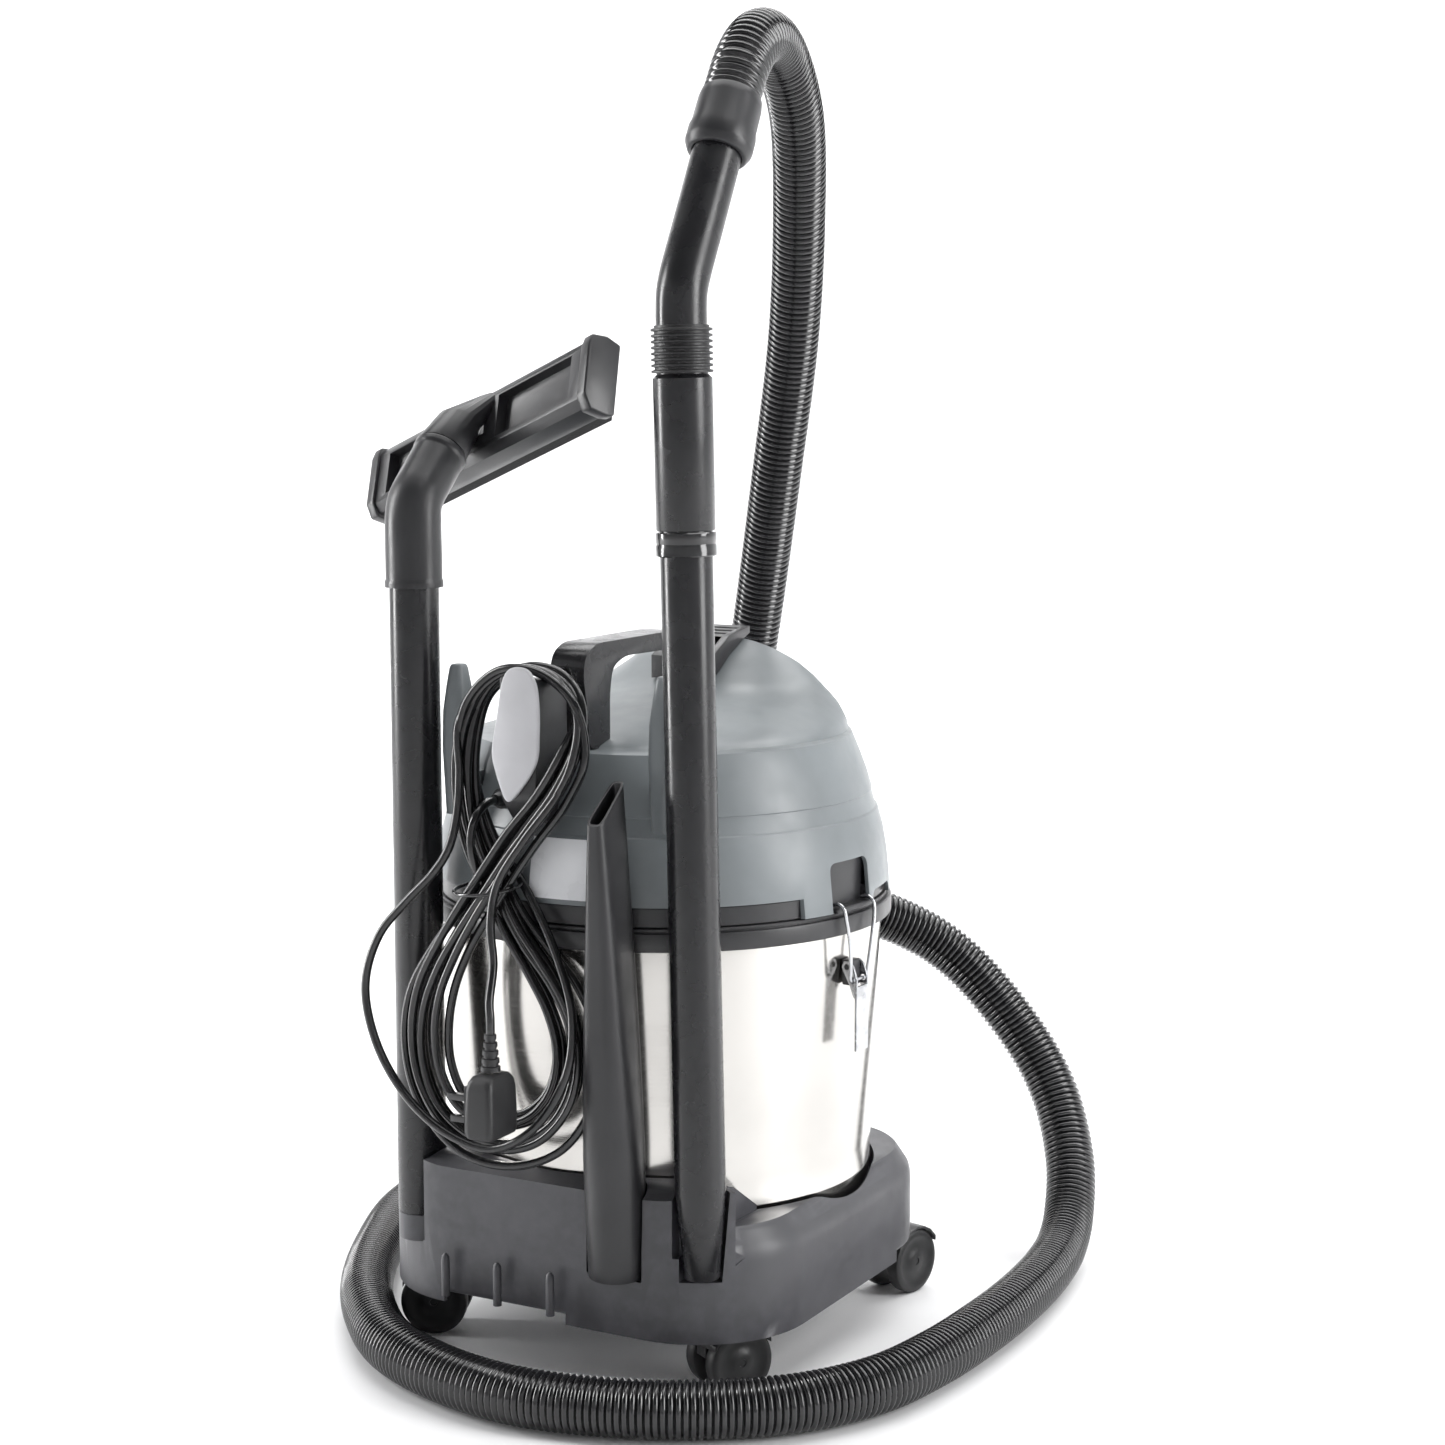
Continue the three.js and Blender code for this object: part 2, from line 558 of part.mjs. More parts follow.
// ---------------------------------------------------------------- wands, nozzle and tools
function leftWand() {
  const { x, y, bottomZ, topZ } = LEFT_WAND;
  const wand = new THREE.Group();
  wand.position.set(x, y, 0);
  root.add(wand);
  const { outer, inner } = TUBE;
  const tube = ring([[inner, bottomZ], [outer, bottomZ], [outer, topZ], [inner, topZ]], 24);
  part("left_wand", tube, BLACK_PLASTIC, wand);
  const { radius, cuffZ, bendZ, reach } = ELBOW;
  const slope = Math.SQRT1_2;
  const along = (s) => [0, slope * s, bendZ + slope * s];
  const path = through([
    [0, 0, cuffZ], [0, 0, cuffZ + 25], [0, 0, bendZ - 14], [0, 2.5, bendZ - 1], along(12), along(30),
    along(reach - 0.6),
  ]);
  const elbow = bar(path, radius, 20, 9).subtract(post(0, 0, cuffZ - 5, topZ + GAP + 0.5, outer + 0.4));
  part("nozzle_elbow", elbow, BLACK_PLASTIC, wand);

  // The head turns about the elbow's upper end: x runs along the head, y across it, z out of its top.
  const swivel = radians(NOZZLE.swivel);
  const neck = vec([0, slope, slope]);
  const lengthwise = vec([Math.cos(swivel), -Math.sin(swivel) * slope, Math.sin(swivel) * slope]);
  const sideways = lengthwise.clone().cross(neck);
  const tilt = radians(NOZZLE.tilt);
  const across = neck.clone().multiplyScalar(Math.cos(tilt)).addScaledVector(sideways, Math.sin(tilt));
  const out = lengthwise.clone().cross(across);
  const head = new THREE.Group();
  head.matrixAutoUpdate = false;
  head.matrix.makeBasis(lengthwise, across, out).setPosition(vec(along(reach)));
  wand.add(head);
  nozzleHead(head, tilt);
}

function nozzleHead(group, tilt) {
  const { halfLength: half, depth, top, sole } = NOZZLE;
  const neckAt = (s) => [0, s * Math.cos(tilt), -s * Math.sin(tilt)];
  const section = [
    [2, sole], [depth - 2, sole], [depth, sole + 10], [depth - 3, top - 2], [depth - 8, top], [8, top],
    [1, top - 5], [0, sole + 8],
  ];
  const window = (x0, x1) => block(x0, x1, 13, depth - 10, top - 9, top + 5);
  const rollerX = 127;
  const rollerY = depth / 2;
  const rollerRod = (from, to, radius, sides = 20) =>
    rod([from, rollerY, sole - 3], [to, rollerY, sole - 3], radius, sides);
  const rollerPocket = (side) => [
    rollerRod(side * (rollerX - 7), side * (rollerX + 7), 14),
    rollerRod(side * (rollerX - 11), side * (rollerX + 11), 2.5, 10),
  ];
  // The neck, round where the elbow turns in it and flattening into the far edge of the head.
  const neckRing = (y, z, a, b) =>
    Array.from({ length: 24 }, (_, i) => {
      const angle = (2 * Math.PI * i) / 24;
      const rise = b * Math.sin(angle);
      return [a * Math.cos(angle), y + rise * Math.sin(tilt), z + rise * Math.cos(tilt)];
    });
  const neck = loft([
    neckRing(0.8, -0.3, 20.5, 20.5), neckRing(28, -13, 21, 17), neckRing(depth - 6, -32, 25, 7),
  ]);
  const body = sidePrism(section, -half, half)
    .add(neck)
    .subtract(window(30, 126))
    .subtract(window(-126, -30))
    .subtract(block(-105, 105, rollerY - 8, rollerY + 8, sole - 2, sole + 10))
    .subtract(rod(neckAt(-5), neckAt(26), 14, 20))
    .subtract(block(-13, 13, rollerY - 8, rollerY + 4, sole, sole + 36))
    .subtract(union([...rollerPocket(1), ...rollerPocket(-1)]));
  part("nozzle_body", body, BLACK_PLASTIC, group);
  const capSection = [
    [0, sole - 3], [depth, sole - 3], [depth + 3, sole + 10], [depth, top], [depth - 9, top + 2.5],
    [9, top + 2.5],
    [-2, top - 4], [-2, sole + 4],
  ];
  part("nozzle_end_cap_right", sidePrism(capSection, half + GAP, half + 11), BLACK_PLASTIC, group);
  part("nozzle_end_cap_left", sidePrism(capSection, -half - 11, -half - GAP), BLACK_PLASTIC, group);
  const strip = (y) => block(-half + 2, half - 2, y, y + 6, sole - 10, sole - GAP);
  part("nozzle_bristles_front", strip(depth - 9), BRISTLE, group);
  part("nozzle_bristles_back", strip(3), BRISTLE, group);
  for (const [name, side] of [["right", 1], ["left", -1]]) {
    const wheel = rollerRod(side * (rollerX - 5), side * (rollerX + 5), 12.5);
    const axle = rollerRod(side * (rollerX - 9), side * (rollerX + 9), 2, 10);
    part(`nozzle_roller_${name}`, wheel.add(axle), RUBBER, group);
  }
}

/** The frame that stands on the crevice tool's foot and points up along it. */
function creviceFrame() {
  const foot = vec(CREVICE.foot);
  const group = new THREE.Group();
  group.position.copy(foot);
  group.quaternion.setFromUnitVectors(vec([0, 0, 1]), vec(CREVICE.head).sub(foot).normalize());
  group.updateMatrix();
  return group;
}

/** The crevice tool's section at a height, from its half sizes, drawn in by inset. */
function creviceSection(inset, z, [across, along]) {
  const [a, b] = [across - inset, along - inset];
  return roundedRectangle(a, b, Math.min(a, b) * 0.98, 6).map(([x, y]) => [x, y, z]);
}

/** The space that the crevice tool passes through as it is pulled out along its own line. */
function crevicePath(margin, lift) {
  const { shoulderAt, shoulder, flat, length } = CREVICE;
  return loft([
    creviceSection(-margin, 20, [shoulder, shoulder]),
    creviceSection(-margin, shoulderAt + lift, [shoulder, shoulder]),
    creviceSection(-margin, length + lift, flat),
  ]).transform(creviceFrame().matrix.elements);
}

function creviceTool() {
  const group = creviceFrame();
  root.add(group);
  const { footRadius, shoulderAt, shoulder, flat, length } = CREVICE;
  const shell = (inset, from, to) =>
    loft([
      creviceSection(inset, from, [footRadius, footRadius]),
      creviceSection(inset, shoulderAt, [shoulder, shoulder]),
      creviceSection(inset, to, flat),
    ]);
  const slope = sidePrism(
    [[-30, 348], [-19, 352], [19, length], [30, length + 6], [30, 460], [-30, 460]], -30, 30,
  );
  const tool = shell(0, 0, length + 2).subtract(shell(1.8, -5, length + 12)).subtract(slope);
  part("crevice_tool", tool, BLACK_PLASTIC, group);
}

/** The right wand with the bent handle tube and the hose's cuff on top, all on one slightly leaning line. */
function rightWand() {
  const { x, y, bottomZ, lean, taper, top } = RIGHT_WAND;
  const group = new THREE.Group();
  group.position.set(x, y, bottomZ);
  group.rotation.y = -radians(lean);
  root.add(group);
  const { outer, inner } = TUBE;
  part(
    "right_wand",
    ring(
      [
        [11.6, 1], [13.4, 1], [outer - 0.6, taper], [outer, taper + 6], [outer, top], [inner, top],
        [inner, taper],
      ],
      24,
    ),
    BLACK_PLASTIC,
    group,
  );
  part("wand_ring", ring([[19.5, 540], [22.3, 540], [22.3, 558], [19.5, 558]], 24), GLOSS_BLACK, group);
  const angle = radians(HANDLE.angle);
  const { bend, end, cuffStart, cuffEnd, cuffRadius } = HANDLE;
  const along = (s) => [0, Math.sin(angle) * s, bend + Math.cos(angle) * s];
  const tubePath = through([
    [0, 0, 600], [0, 0, 660], [0, 0, bend - 14], [0, 1.5, bend - 1], along(12), along(60), along(end),
  ]);
  const sleeve = ring(
    [[19.6, 558.4], [21.6, 558.4], [21.6, 668], [18.6, 671], [17, 671], [17, 590], [19.6, 590]],
    24,
  );
  const tube = sleeve.add(bar(tubePath, 18.6, 20, 12));
  part("handle_tube", tube, BLACK_PLASTIC, group);
  const collar = [0, 1, 2, 3].flatMap((i) => [
    [22.4, 672 + 8.5 * i], [22.4, 676 + 8.5 * i], [20.2, 676.6 + 8.5 * i], [20.2, 680 + 8.5 * i],
  ]);
  part("ribbed_collar", ring([[19, 671.6], ...collar, [19, 706]], 20), RUBBER, group);
  const head = new THREE.Group();
  head.position.set(0, 0, bend);
  head.rotation.x = -angle;
  group.add(head);
  const cuff = ring(
    [
      [19.2, cuffStart], [22.5, cuffStart], [cuffRadius, cuffStart + 9], [cuffRadius, cuffEnd - 6],
      [23.5, cuffEnd], [16, cuffEnd], [16, end + 0.8], [19.2, end + 0.8],
    ],
    24,
  );
  part("hose_cuff", cuff, BLACK_PLASTIC, head);
}

// ---------------------------------------------------------------- inlet, hose and cord
function inlet() {
  const [x, , z] = HOSE.start;
  const at = (y) => [x, y, z];
  const port = rod(at(164), at(198), 23.6, 24).add(rod(at(178.6), at(184), 36, 28)).subtract(
    rod(at(150), at(220), 20.4, 24),
  );
  part("inlet_port", port, BLACK_PLASTIC);
  const plug = rod(at(180), at(204), 20, 24).add(rod(at(199), at(232), 26.5, 28, 24.5)).subtract(
    rod(at(170), at(224), 16, 20),
  );
  part("hose_connector", plug, BLACK_PLASTIC);
}

function hose() {
  const z = HOSE.floorZ;
  const route = through([
    HOSE.start, [0, 248, 300], [10, 280, 297], [40, 318, 286], [92, 352, 254], [148, 366, 198],
    [196, 360, 136], [226, 332, 78], [240, 296, 40], [250, 256, 26], [260, 200, z], [268, 120, z],
    [269, 40, z], [264, -40, z], [248, -116, z],
    [212, -176, z], [160, -218, z], [96, -248, z], [24, -262, z], [-52, -250, z], [-121, -218, z],
    [-177, -167, z], [-225, -106, z], [-272, -23, z], [-311, 66, z], [-326, 150, z], [-312, 236, 26],
    [-262, 306, 60], [-196, 336, 140], [-144, 332, 260], [-106, 312, 400], [-62, 280, 560], [-18, 232, 690],
    [20, 188, 800], [54, 132, 898], [84, 68, 978], [97, 14, 1018], [105, -26, 1026], [109.6, -55, 1017],
    [111.3, -74.5, 1000.5], [111.4, -83.2, 987],
  ]);
  part("hose", bar(route, HOSE.diameter / 2, 10, 80), HOSE_BLACK);
}

/** A point of the hank's own plane, x across and z up, lean and all. */
function hankPoint(x, z, forward = 0) {
  const lean = radians(HANK.lean);
  const down = HANK.topZ - z;
  return [x, HANK.topY - down * Math.sin(lean) - forward * Math.cos(lean), HANK.topZ - down * Math.cos(lean)];
}

function mainsCord() {
  const outline = new THREE.CatmullRomCurve3(
    [
      [-16, 561], [22, 555], [42, 520], [36, 476], [8, 430], [-26, 388], [10, 350], [46, 312],
      [42, 258], [8, 205], [-26, 186], [-66, 196], [-98, 240], [-96, 300], [-72, 350], [-62, 388],
      [-72, 430], [-82, 480], [-70, 530],
    ].map(([x, z]) => vec([x, z - HANK.topZ, 0])),
    true,
    "centripetal",
  ).getPoints(48);
  outline.pop();
  const shape = new THREE.Shape(outline.map((p) => new THREE.Vector2(p.x, p.y)));
  const slab = new THREE.ExtrudeGeometry(shape, { depth: HANK.thickness, bevelEnabled: false });
  slab.translate(0, 0, -HANK.thickness / 2);
  slab.rotateX(Math.PI / 2 - radians(HANK.lean));
  slab.translate(0, HANK.topY, HANK.topZ);
  const hookHole = block(HOOK_X - 16.6, HOOK_X + 16.6, -260, -100, 436, 549.6);
  // The bundle gives way to the crevice tool, all along the path that the tool is pulled out by.
  part("cord_hank", solid(slab).subtract(hookHole).subtract(crevicePath(0.8, 95)), HOSE_BLACK);
  const radius = CORD.diameter / 2;
  const loop = through([
    hankPoint(-58, 392, 16), hankPoint(-92, 378, 22), hankPoint(-122, 346, 26), hankPoint(-132, 306, 26),
    hankPoint(-118, 272, 24), hankPoint(-92, 252, 17),
  ]);
  part("cord_loop", bar(loop, radius, 8, 14), HOSE_BLACK);
  const tail = through([
    hankPoint(22, 372, 16), hankPoint(18, 352, 20), hankPoint(8, 330, 30), hankPoint(-2, 312, 36),
    [-6, -246, 300], [-6, -246, 293],
  ]);
  part("cord_tail", bar(tail, radius, 8, 8), HOSE_BLACK);
  const boot = rod([-6, -246, 292], [-6, -246, 262], 4.6, 12, 8);
  const bodySizes = [[262, 9, 12], [254, 11, 18], [240, 12, 20.6], [212, 12, 20.6], [208, 10, 18.5]];
  const bodyRings = bodySizes.map(([z, a, b]) =>
    roundedRectangle(a, b, 6, 4, -6, -246).map(([x, y]) => [x, y, z]),
  );
  const pin = (y, z, length) => block(-18 - length, -16, y - 3, y + 3, z - 2.5, z + 2.5);
  const pins = [pin(-257, 242, 17.7), pin(-235, 242, 17.7), pin(-246, 219.8, 22.7)];
  const plug = union([boot, loft(bodyRings), ...pins]);
  part("plug", plug, BLACK_PLASTIC);
}

// ---------------------------------------------------------------- assembly
chassis();
Object.entries(CASTERS).forEach(([place, row]) => caster(place, row));
drum();
latch("right", 1);
latch("left", -1);
motorHead();
insides();
leftWand();
creviceTool();
rightWand();
inlet();
hose();
mainsCord();

/** Moves the group so that its origin is under the middle of everything but the cords. */
function centre(group, cords) {
  group.updateMatrixWorld(true);
  const box = new THREE.Box3();
  group.traverse((mesh) => {
    if (mesh.isMesh && !cords.includes(mesh.name)) box.expandByObject(mesh, true);
  });
  const middle = box.getCenter(new THREE.Vector3());
  group.position.set(-middle.x, -middle.y, 0);
}

centre(root, ["hose", "hose_cuff", "hose_connector", "cord_hank", "cord_loop", "cord_tail", "plug"]);

export default root;
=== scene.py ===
"""The looks of a wet and dry shop vacuum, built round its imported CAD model.

Places are millimetres from the point of the floor under the middle of the drum, with +Z up and +Y
towards the front, as the CAD's are, and become metres in the row's frame when a mesh is made.
"""

import math

import bmesh
import bpy
from mathutils import Matrix, Vector


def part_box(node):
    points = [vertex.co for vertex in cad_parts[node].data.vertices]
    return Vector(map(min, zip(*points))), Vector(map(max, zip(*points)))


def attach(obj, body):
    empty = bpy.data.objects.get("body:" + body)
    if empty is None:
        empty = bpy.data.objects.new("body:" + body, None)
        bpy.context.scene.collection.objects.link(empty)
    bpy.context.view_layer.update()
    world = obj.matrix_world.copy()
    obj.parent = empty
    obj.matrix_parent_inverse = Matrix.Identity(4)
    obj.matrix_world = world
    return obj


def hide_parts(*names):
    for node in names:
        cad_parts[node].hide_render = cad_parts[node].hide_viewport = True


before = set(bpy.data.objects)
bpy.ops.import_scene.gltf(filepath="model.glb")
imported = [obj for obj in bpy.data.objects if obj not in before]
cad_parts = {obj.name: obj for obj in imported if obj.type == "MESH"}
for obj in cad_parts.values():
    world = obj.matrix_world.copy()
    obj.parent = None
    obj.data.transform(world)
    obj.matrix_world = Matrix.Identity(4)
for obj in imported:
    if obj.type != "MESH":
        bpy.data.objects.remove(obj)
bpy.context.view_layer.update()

MM = 0.001
DRUM_LOW, DRUM_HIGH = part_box("drum")
ORIGIN = Vector(((DRUM_LOW[0] + DRUM_HIGH[0]) / 2, (DRUM_LOW[1] + DRUM_HIGH[1]) / 2, 0))
TO_ROW = Matrix.Translation(ORIGIN) @ Matrix.Scale(MM, 4)
ROUND = 160  # sides of the large turned pieces


def at(x, y, z):
    """A place in the row's frame, in metres."""
    return TO_ROW @ Vector((x, y, z))


# -------- camera
def camera():
    data = bpy.data.cameras.new("camera")
    data.lens = 68.5
    data.sensor_width = 36
    data.clip_end = 50
    eye = bpy.data.objects.new("camera", data)
    eye.location = at(1100, -1905, 780)
    eye.rotation_euler = (math.radians(82.6), 0, math.radians(28.75))
    bpy.context.collection.objects.link(eye)
    bpy.context.scene.camera = eye
    bpy.context.scene.view_settings.view_transform = "Standard"


camera()


# -------- mesh making
def new_object(name, verts, faces, matrix=None):
    """A mesh object from points in millimetres, its faces turned outwards."""
    mesh = bpy.data.meshes.new(name)
    mesh.from_pydata([tuple(v) for v in verts], [], faces)
    mesh.transform(TO_ROW @ matrix if matrix else TO_ROW)
    edit = bmesh.new()
    edit.from_mesh(mesh)
    bmesh.ops.remove_doubles(edit, verts=edit.verts, dist=1e-6)
    bmesh.ops.recalc_face_normals(edit, faces=edit.faces)
    edit.to_mesh(mesh)
    edit.free()
    obj = bpy.data.objects.new(name, mesh)
    bpy.context.collection.objects.link(obj)
    return obj


def grid_faces(rows, columns, wrap_rows=False, caps=True):
    """Quads over rows of points that each close on themselves, with a cap at both ends."""
    faces = []
    for row in range(rows if wrap_rows else rows - 1):
        above = (row + 1) % rows
        for column in range(columns):
            beside = (column + 1) % columns
            here, there = row * columns, above * columns
            faces.append((here + column, here + beside, there + beside, there + column))
    if caps and not wrap_rows:
        faces.append(tuple(range(columns)))
        faces.append(tuple(range((rows - 1) * columns, rows * columns)))
    return faces


def lathe(name, profile, sides=ROUND, closed=True, matrix=None):
    """A profile of (radius, z) turned about +Z. A closed one makes a ring; an open one is capped."""
    verts = [
        (r * math.cos(2 * math.pi * i / sides), r * math.sin(2 * math.pi * i / sides), z)
        for r, z in profile
        for i in range(sides)
    ]
    return new_object(name, verts, grid_faces(len(profile), sides, wrap_rows=closed), matrix)


def loft(name, rings, matrix=None):
    """A skin over rings of equal numbers of points, capped at both ends."""
    verts = [p for ring in rings for p in ring]
    return new_object(name, verts, grid_faces(len(rings), len(rings[0])), matrix)


def box(name, x0, x1, y0, y1, z0, z1, matrix=None):
    corners = [(x0, y0), (x1, y0), (x1, y1), (x0, y1)]
    return loft(name, [[(x, y, z) for x, y in corners] for z in (z0, z1)], matrix)


def spline(points, step, closed=False):
    """Points a step apart on a centripetal Catmull-Rom curve through these."""
    given = [Vector(p) for p in points]
    if closed:
        padded = [given[-1], *given, given[0], given[1]]
    else:
        padded = [2 * given[0] - given[1], *given, 2 * given[-1] - given[-2]]
    fine = []
    for p0, p1, p2, p3 in zip(padded, padded[1:], padded[2:], padded[3:]):
        t0 = 0
        t1 = t0 + math.sqrt((p1 - p0).length)
        t2 = t1 + math.sqrt((p2 - p1).length)
        t3 = t2 + math.sqrt((p3 - p2).length)
        for i in range(16):
            t = t1 + (t2 - t1) * i / 16
            a1 = p0.lerp(p1, (t - t0) / (t1 - t0))
            a2 = p1.lerp(p2, (t - t1) / (t2 - t1))
            a3 = p2.lerp(p3, (t - t2) / (t3 - t2))
            b1 = a1.lerp(a2, (t - t0) / (t2 - t0))
            b2 = a2.lerp(a3, (t - t1) / (t3 - t1))
            fine.append(b1.lerp(b2, (t - t1) / (t2 - t1)))
    fine.append(padded[-2].copy())
    return evenly(fine, step)


def evenly(points, step):
    """The same line with its points a step apart, end points kept."""
    lengths = [0.0]
    for a, b in zip(points, points[1:]):
        lengths.append(lengths[-1] + (b - a).length)
    count = max(2, round(lengths[-1] / step))
    out = []
    index = 0
    for i in range(count + 1):
        want = lengths[-1] * i / count
        while index + 2 < len(lengths) and lengths[index + 1] < want:
            index += 1
        span = lengths[index + 1] - lengths[index] or 1
        out.append(points[index].lerp(points[index + 1], (want - lengths[index]) / span))
    return out


def sweep(name, points, radius, sides=24, matrix=None):
    """A round tube along points; radius is a number or a function of the distance along."""
    size = radius if callable(radius) else lambda s: radius
    tangent = (points[1] - points[0]).normalized()
    side = tangent.orthogonal().normalized()
    rings = []
    travelled = 0.0
    for i, point in enumerate(points):
        ahead = points[min(i + 1, len(points) - 1)] - points[max(i - 1, 0)]
        turn = tangent.rotation_difference(ahead.normalized())
        tangent = ahead.normalized()
        side = (turn @ side).normalized()
        across = tangent.cross(side)
        if i:
            travelled += (point - points[i - 1]).length
        r = size(travelled)
        angles = [2 * math.pi * k / sides for k in range(sides)]
        rings.append([point + side * (r * math.cos(a)) + across * (r * math.sin(a)) for a in angles])
    return loft(name, rings, matrix)


def outline_solid(name, outline, place, low, high, matrix=None):
    """A closed outline pulled from low to high, its points placed by place(u, v, height)."""
    return loft(name, [[place(u, v, height) for u, v in outline] for height in (low, high)], matrix)


def rounded(points, radius, steps=5):
    """A polygon with its corners rounded to a radius."""
    out = []
    corners = [Vector(p) for p in points]
    for before, corner, after in zip(corners[-1:] + corners[:-1], corners, corners[1:] + corners[:1]):
        reach_in = min(radius, (before - corner).length * 0.45)
        reach_out = min(radius, (after - corner).length * 0.45)
        start = corner + (before - corner).normalized() * reach_in
        end = corner + (after - corner).normalized() * reach_out
        for i in range(steps + 1):
            t = i / steps
            out.append(start.lerp(corner, t).lerp(corner.lerp(end, t), t))
    return [tuple(p) for p in out]


def from_side(y, z, x):
    """Places an outline drawn in y and z at x, for outline_solid."""
    return (x, y, z)


def rounded_rectangle(a, b, r, steps=8):
    return rounded([(a, b), (-a, b), (-a, -b), (a, -b)], r, steps)


def apply_modifiers(obj):
    """Bakes the object's modifiers into its mesh."""
    graph = bpy.context.evaluated_depsgraph_get()
    made = bpy.data.meshes.new_from_object(obj.evaluated_get(graph))
    obj.modifiers.clear()
    old = obj.data
    obj.data = made
    made.name = obj.name
    bpy.data.meshes.remove(old)
    return obj


def combine(obj, others, operation):
    """Cuts these solids from obj, or joins or intersects them with it, and uses them up."""
    for other in others:
        step = obj.modifiers.new(operation, "BOOLEAN")
        step.operation = operation
        step.solver = "MANIFOLD"
        step.object = other
        apply_modifiers(obj)
        bpy.data.objects.remove(other)
    return obj


def cut(obj, *others):
    return combine(obj, others, "DIFFERENCE")


def join(obj, *others):
    return combine(obj, others, "UNION")


def common(obj, *others):
    return combine(obj, others, "INTERSECT")


def merge(obj, *others):
    """Adds the other meshes to obj as they are."""
    edit = bmesh.new()
    edit.from_mesh(obj.data)
    for other in others:
        edit.from_mesh(other.data)
        bpy.data.objects.remove(other)
    edit.to_mesh(obj.data)
    edit.free()
    return obj


def bevelled(obj, width, segments=3, angle=33):
    """Rounds the sharp edges over a width in millimetres."""
    step = obj.modifiers.new("edges", "BEVEL")
    step.width = width * MM
    step.segments = segments
    step.limit_method = "ANGLE"
    step.angle_limit = math.radians(angle)
    step.miter_outer = "MITER_ARC"
    return apply_modifiers(obj)


def cad_copy(node, width=0.0, angle=33, segments=3):
    """A CAD node's own shape, welded, with its sharp edges rounded."""
    obj = bpy.data.objects.new(node + "_shell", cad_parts[node].data.copy())
    bpy.context.collection.objects.link(obj)
    edit = bmesh.new()
    edit.from_mesh(obj.data)
    bmesh.ops.remove_doubles(edit, verts=edit.verts, dist=2e-6)
    bmesh.ops.dissolve_limit(edit, angle_limit=math.radians(1), verts=edit.verts, edges=edit.edges)
    edit.to_mesh(obj.data)
    edit.free()
    return bevelled(obj, width, segments, angle) if width else obj


def finished(obj, body, material, slot, *nodes, smooth=38):
    """Shades a piece, gives it its material and body, and stands it in for its CAD nodes."""
    mesh = obj.data
    mesh.polygons.foreach_set("use_smooth", [True] * len(mesh.polygons))
    mesh.set_sharp_from_angle(angle=math.radians(smooth))
    mesh.materials.clear()
    mesh.materials.append(material)
    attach(obj, body)
    if nodes:
        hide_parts(*nodes)
    return obj


def black_piece(obj, *nodes):
    """A fixed piece of textured black plastic."""
    return finished(obj, "machine", BLACK, "matte_black", *nodes)


# -------- materials
class Surface:
    """A node-built material, with the few steps that all of them share."""

    def __init__(self, name):
        self.material = bpy.data.materials.new(name)
        self.material.use_nodes = True
        self.tree = self.material.node_tree
        self.shader = self.tree.nodes["Principled BSDF"]
        self.place = self.tree.nodes.new("ShaderNodeTexCoord").outputs["Object"]

    def node(self, kind, **values):
        made = self.tree.nodes.new(kind)
        for name, value in values.items():
            setattr(made, name, value)
        return made

    def link(self, source, target):
        self.tree.links.new(source, target)

    def noise(self, scale, detail=3.0, stretch=(1, 1, 1)):
        mapping = self.node("ShaderNodeMapping")
        mapping.inputs["Scale"].default_value = stretch
        self.link(self.place, mapping.inputs["Vector"])
        made = self.node("ShaderNodeTexNoise")
        made.inputs["Scale"].default_value = scale
        made.inputs["Detail"].default_value = detail
        self.link(mapping.outputs["Vector"], made.inputs["Vector"])
        return made.outputs["Fac"]

    def spread(self, source, from_low, from_high, low, high):
        made = self.node("ShaderNodeMapRange")
        limits = {"From Min": from_low, "From Max": from_high, "To Min": low, "To Max": high}
        for name, value in limits.items():
            made.inputs[name].default_value = value
        self.link(source, made.inputs["Value"])
        return made.outputs["Result"]

    def times(self, a, b):
        made = self.node("ShaderNodeMath", operation="MULTIPLY")
        self.link(a, made.inputs[0])
        self.link(b, made.inputs[1])
        return made.outputs[0]

    def mix(self, factor, a, b):
        made = self.node("ShaderNodeMix", data_type="RGBA")
        self.link(factor, made.inputs["Factor"])
        for value, socket in ((a, made.inputs[6]), (b, made.inputs[7])):
            if isinstance(value, tuple):
                socket.default_value = (*value, 1)
            else:
                self.link(value, socket)
        return made.outputs[2]

    def bump(self, height, depth, strength=1.0, before=None):
        made = self.node("ShaderNodeBump")
        made.inputs["Distance"].default_value = depth
        made.inputs["Strength"].default_value = strength
        self.link(height, made.inputs["Height"])
        if before:
            self.link(before, made.inputs["Normal"])
        return made.outputs["Normal"]

    def edges(self, low=0.53, high=0.62):
        """Where the surface is worn: its outer edges, broken up."""
        geometry = self.node("ShaderNodeNewGeometry")
        worn = self.spread(geometry.outputs["Pointiness"], low, high, 0, 1)
        return self.times(worn, self.spread(self.noise(90, 4), 0.35, 0.7, 0, 1))

    def dust(self, amount):
        """Where dust settles: surfaces that face up, unevenly."""
        geometry = self.node("ShaderNodeNewGeometry")
        parts = self.node("ShaderNodeSeparateXYZ")
        self.link(geometry.outputs["Normal"], parts.inputs["Vector"])
        up = self.spread(parts.outputs["Z"], 0.3, 1.0, 0, amount)
        return self.times(up, self.spread(self.noise(30, 5), 0.3, 0.7, 0.2, 1))


def tone(colour, factor):
    return tuple(min(1.0, c * factor) for c in colour)


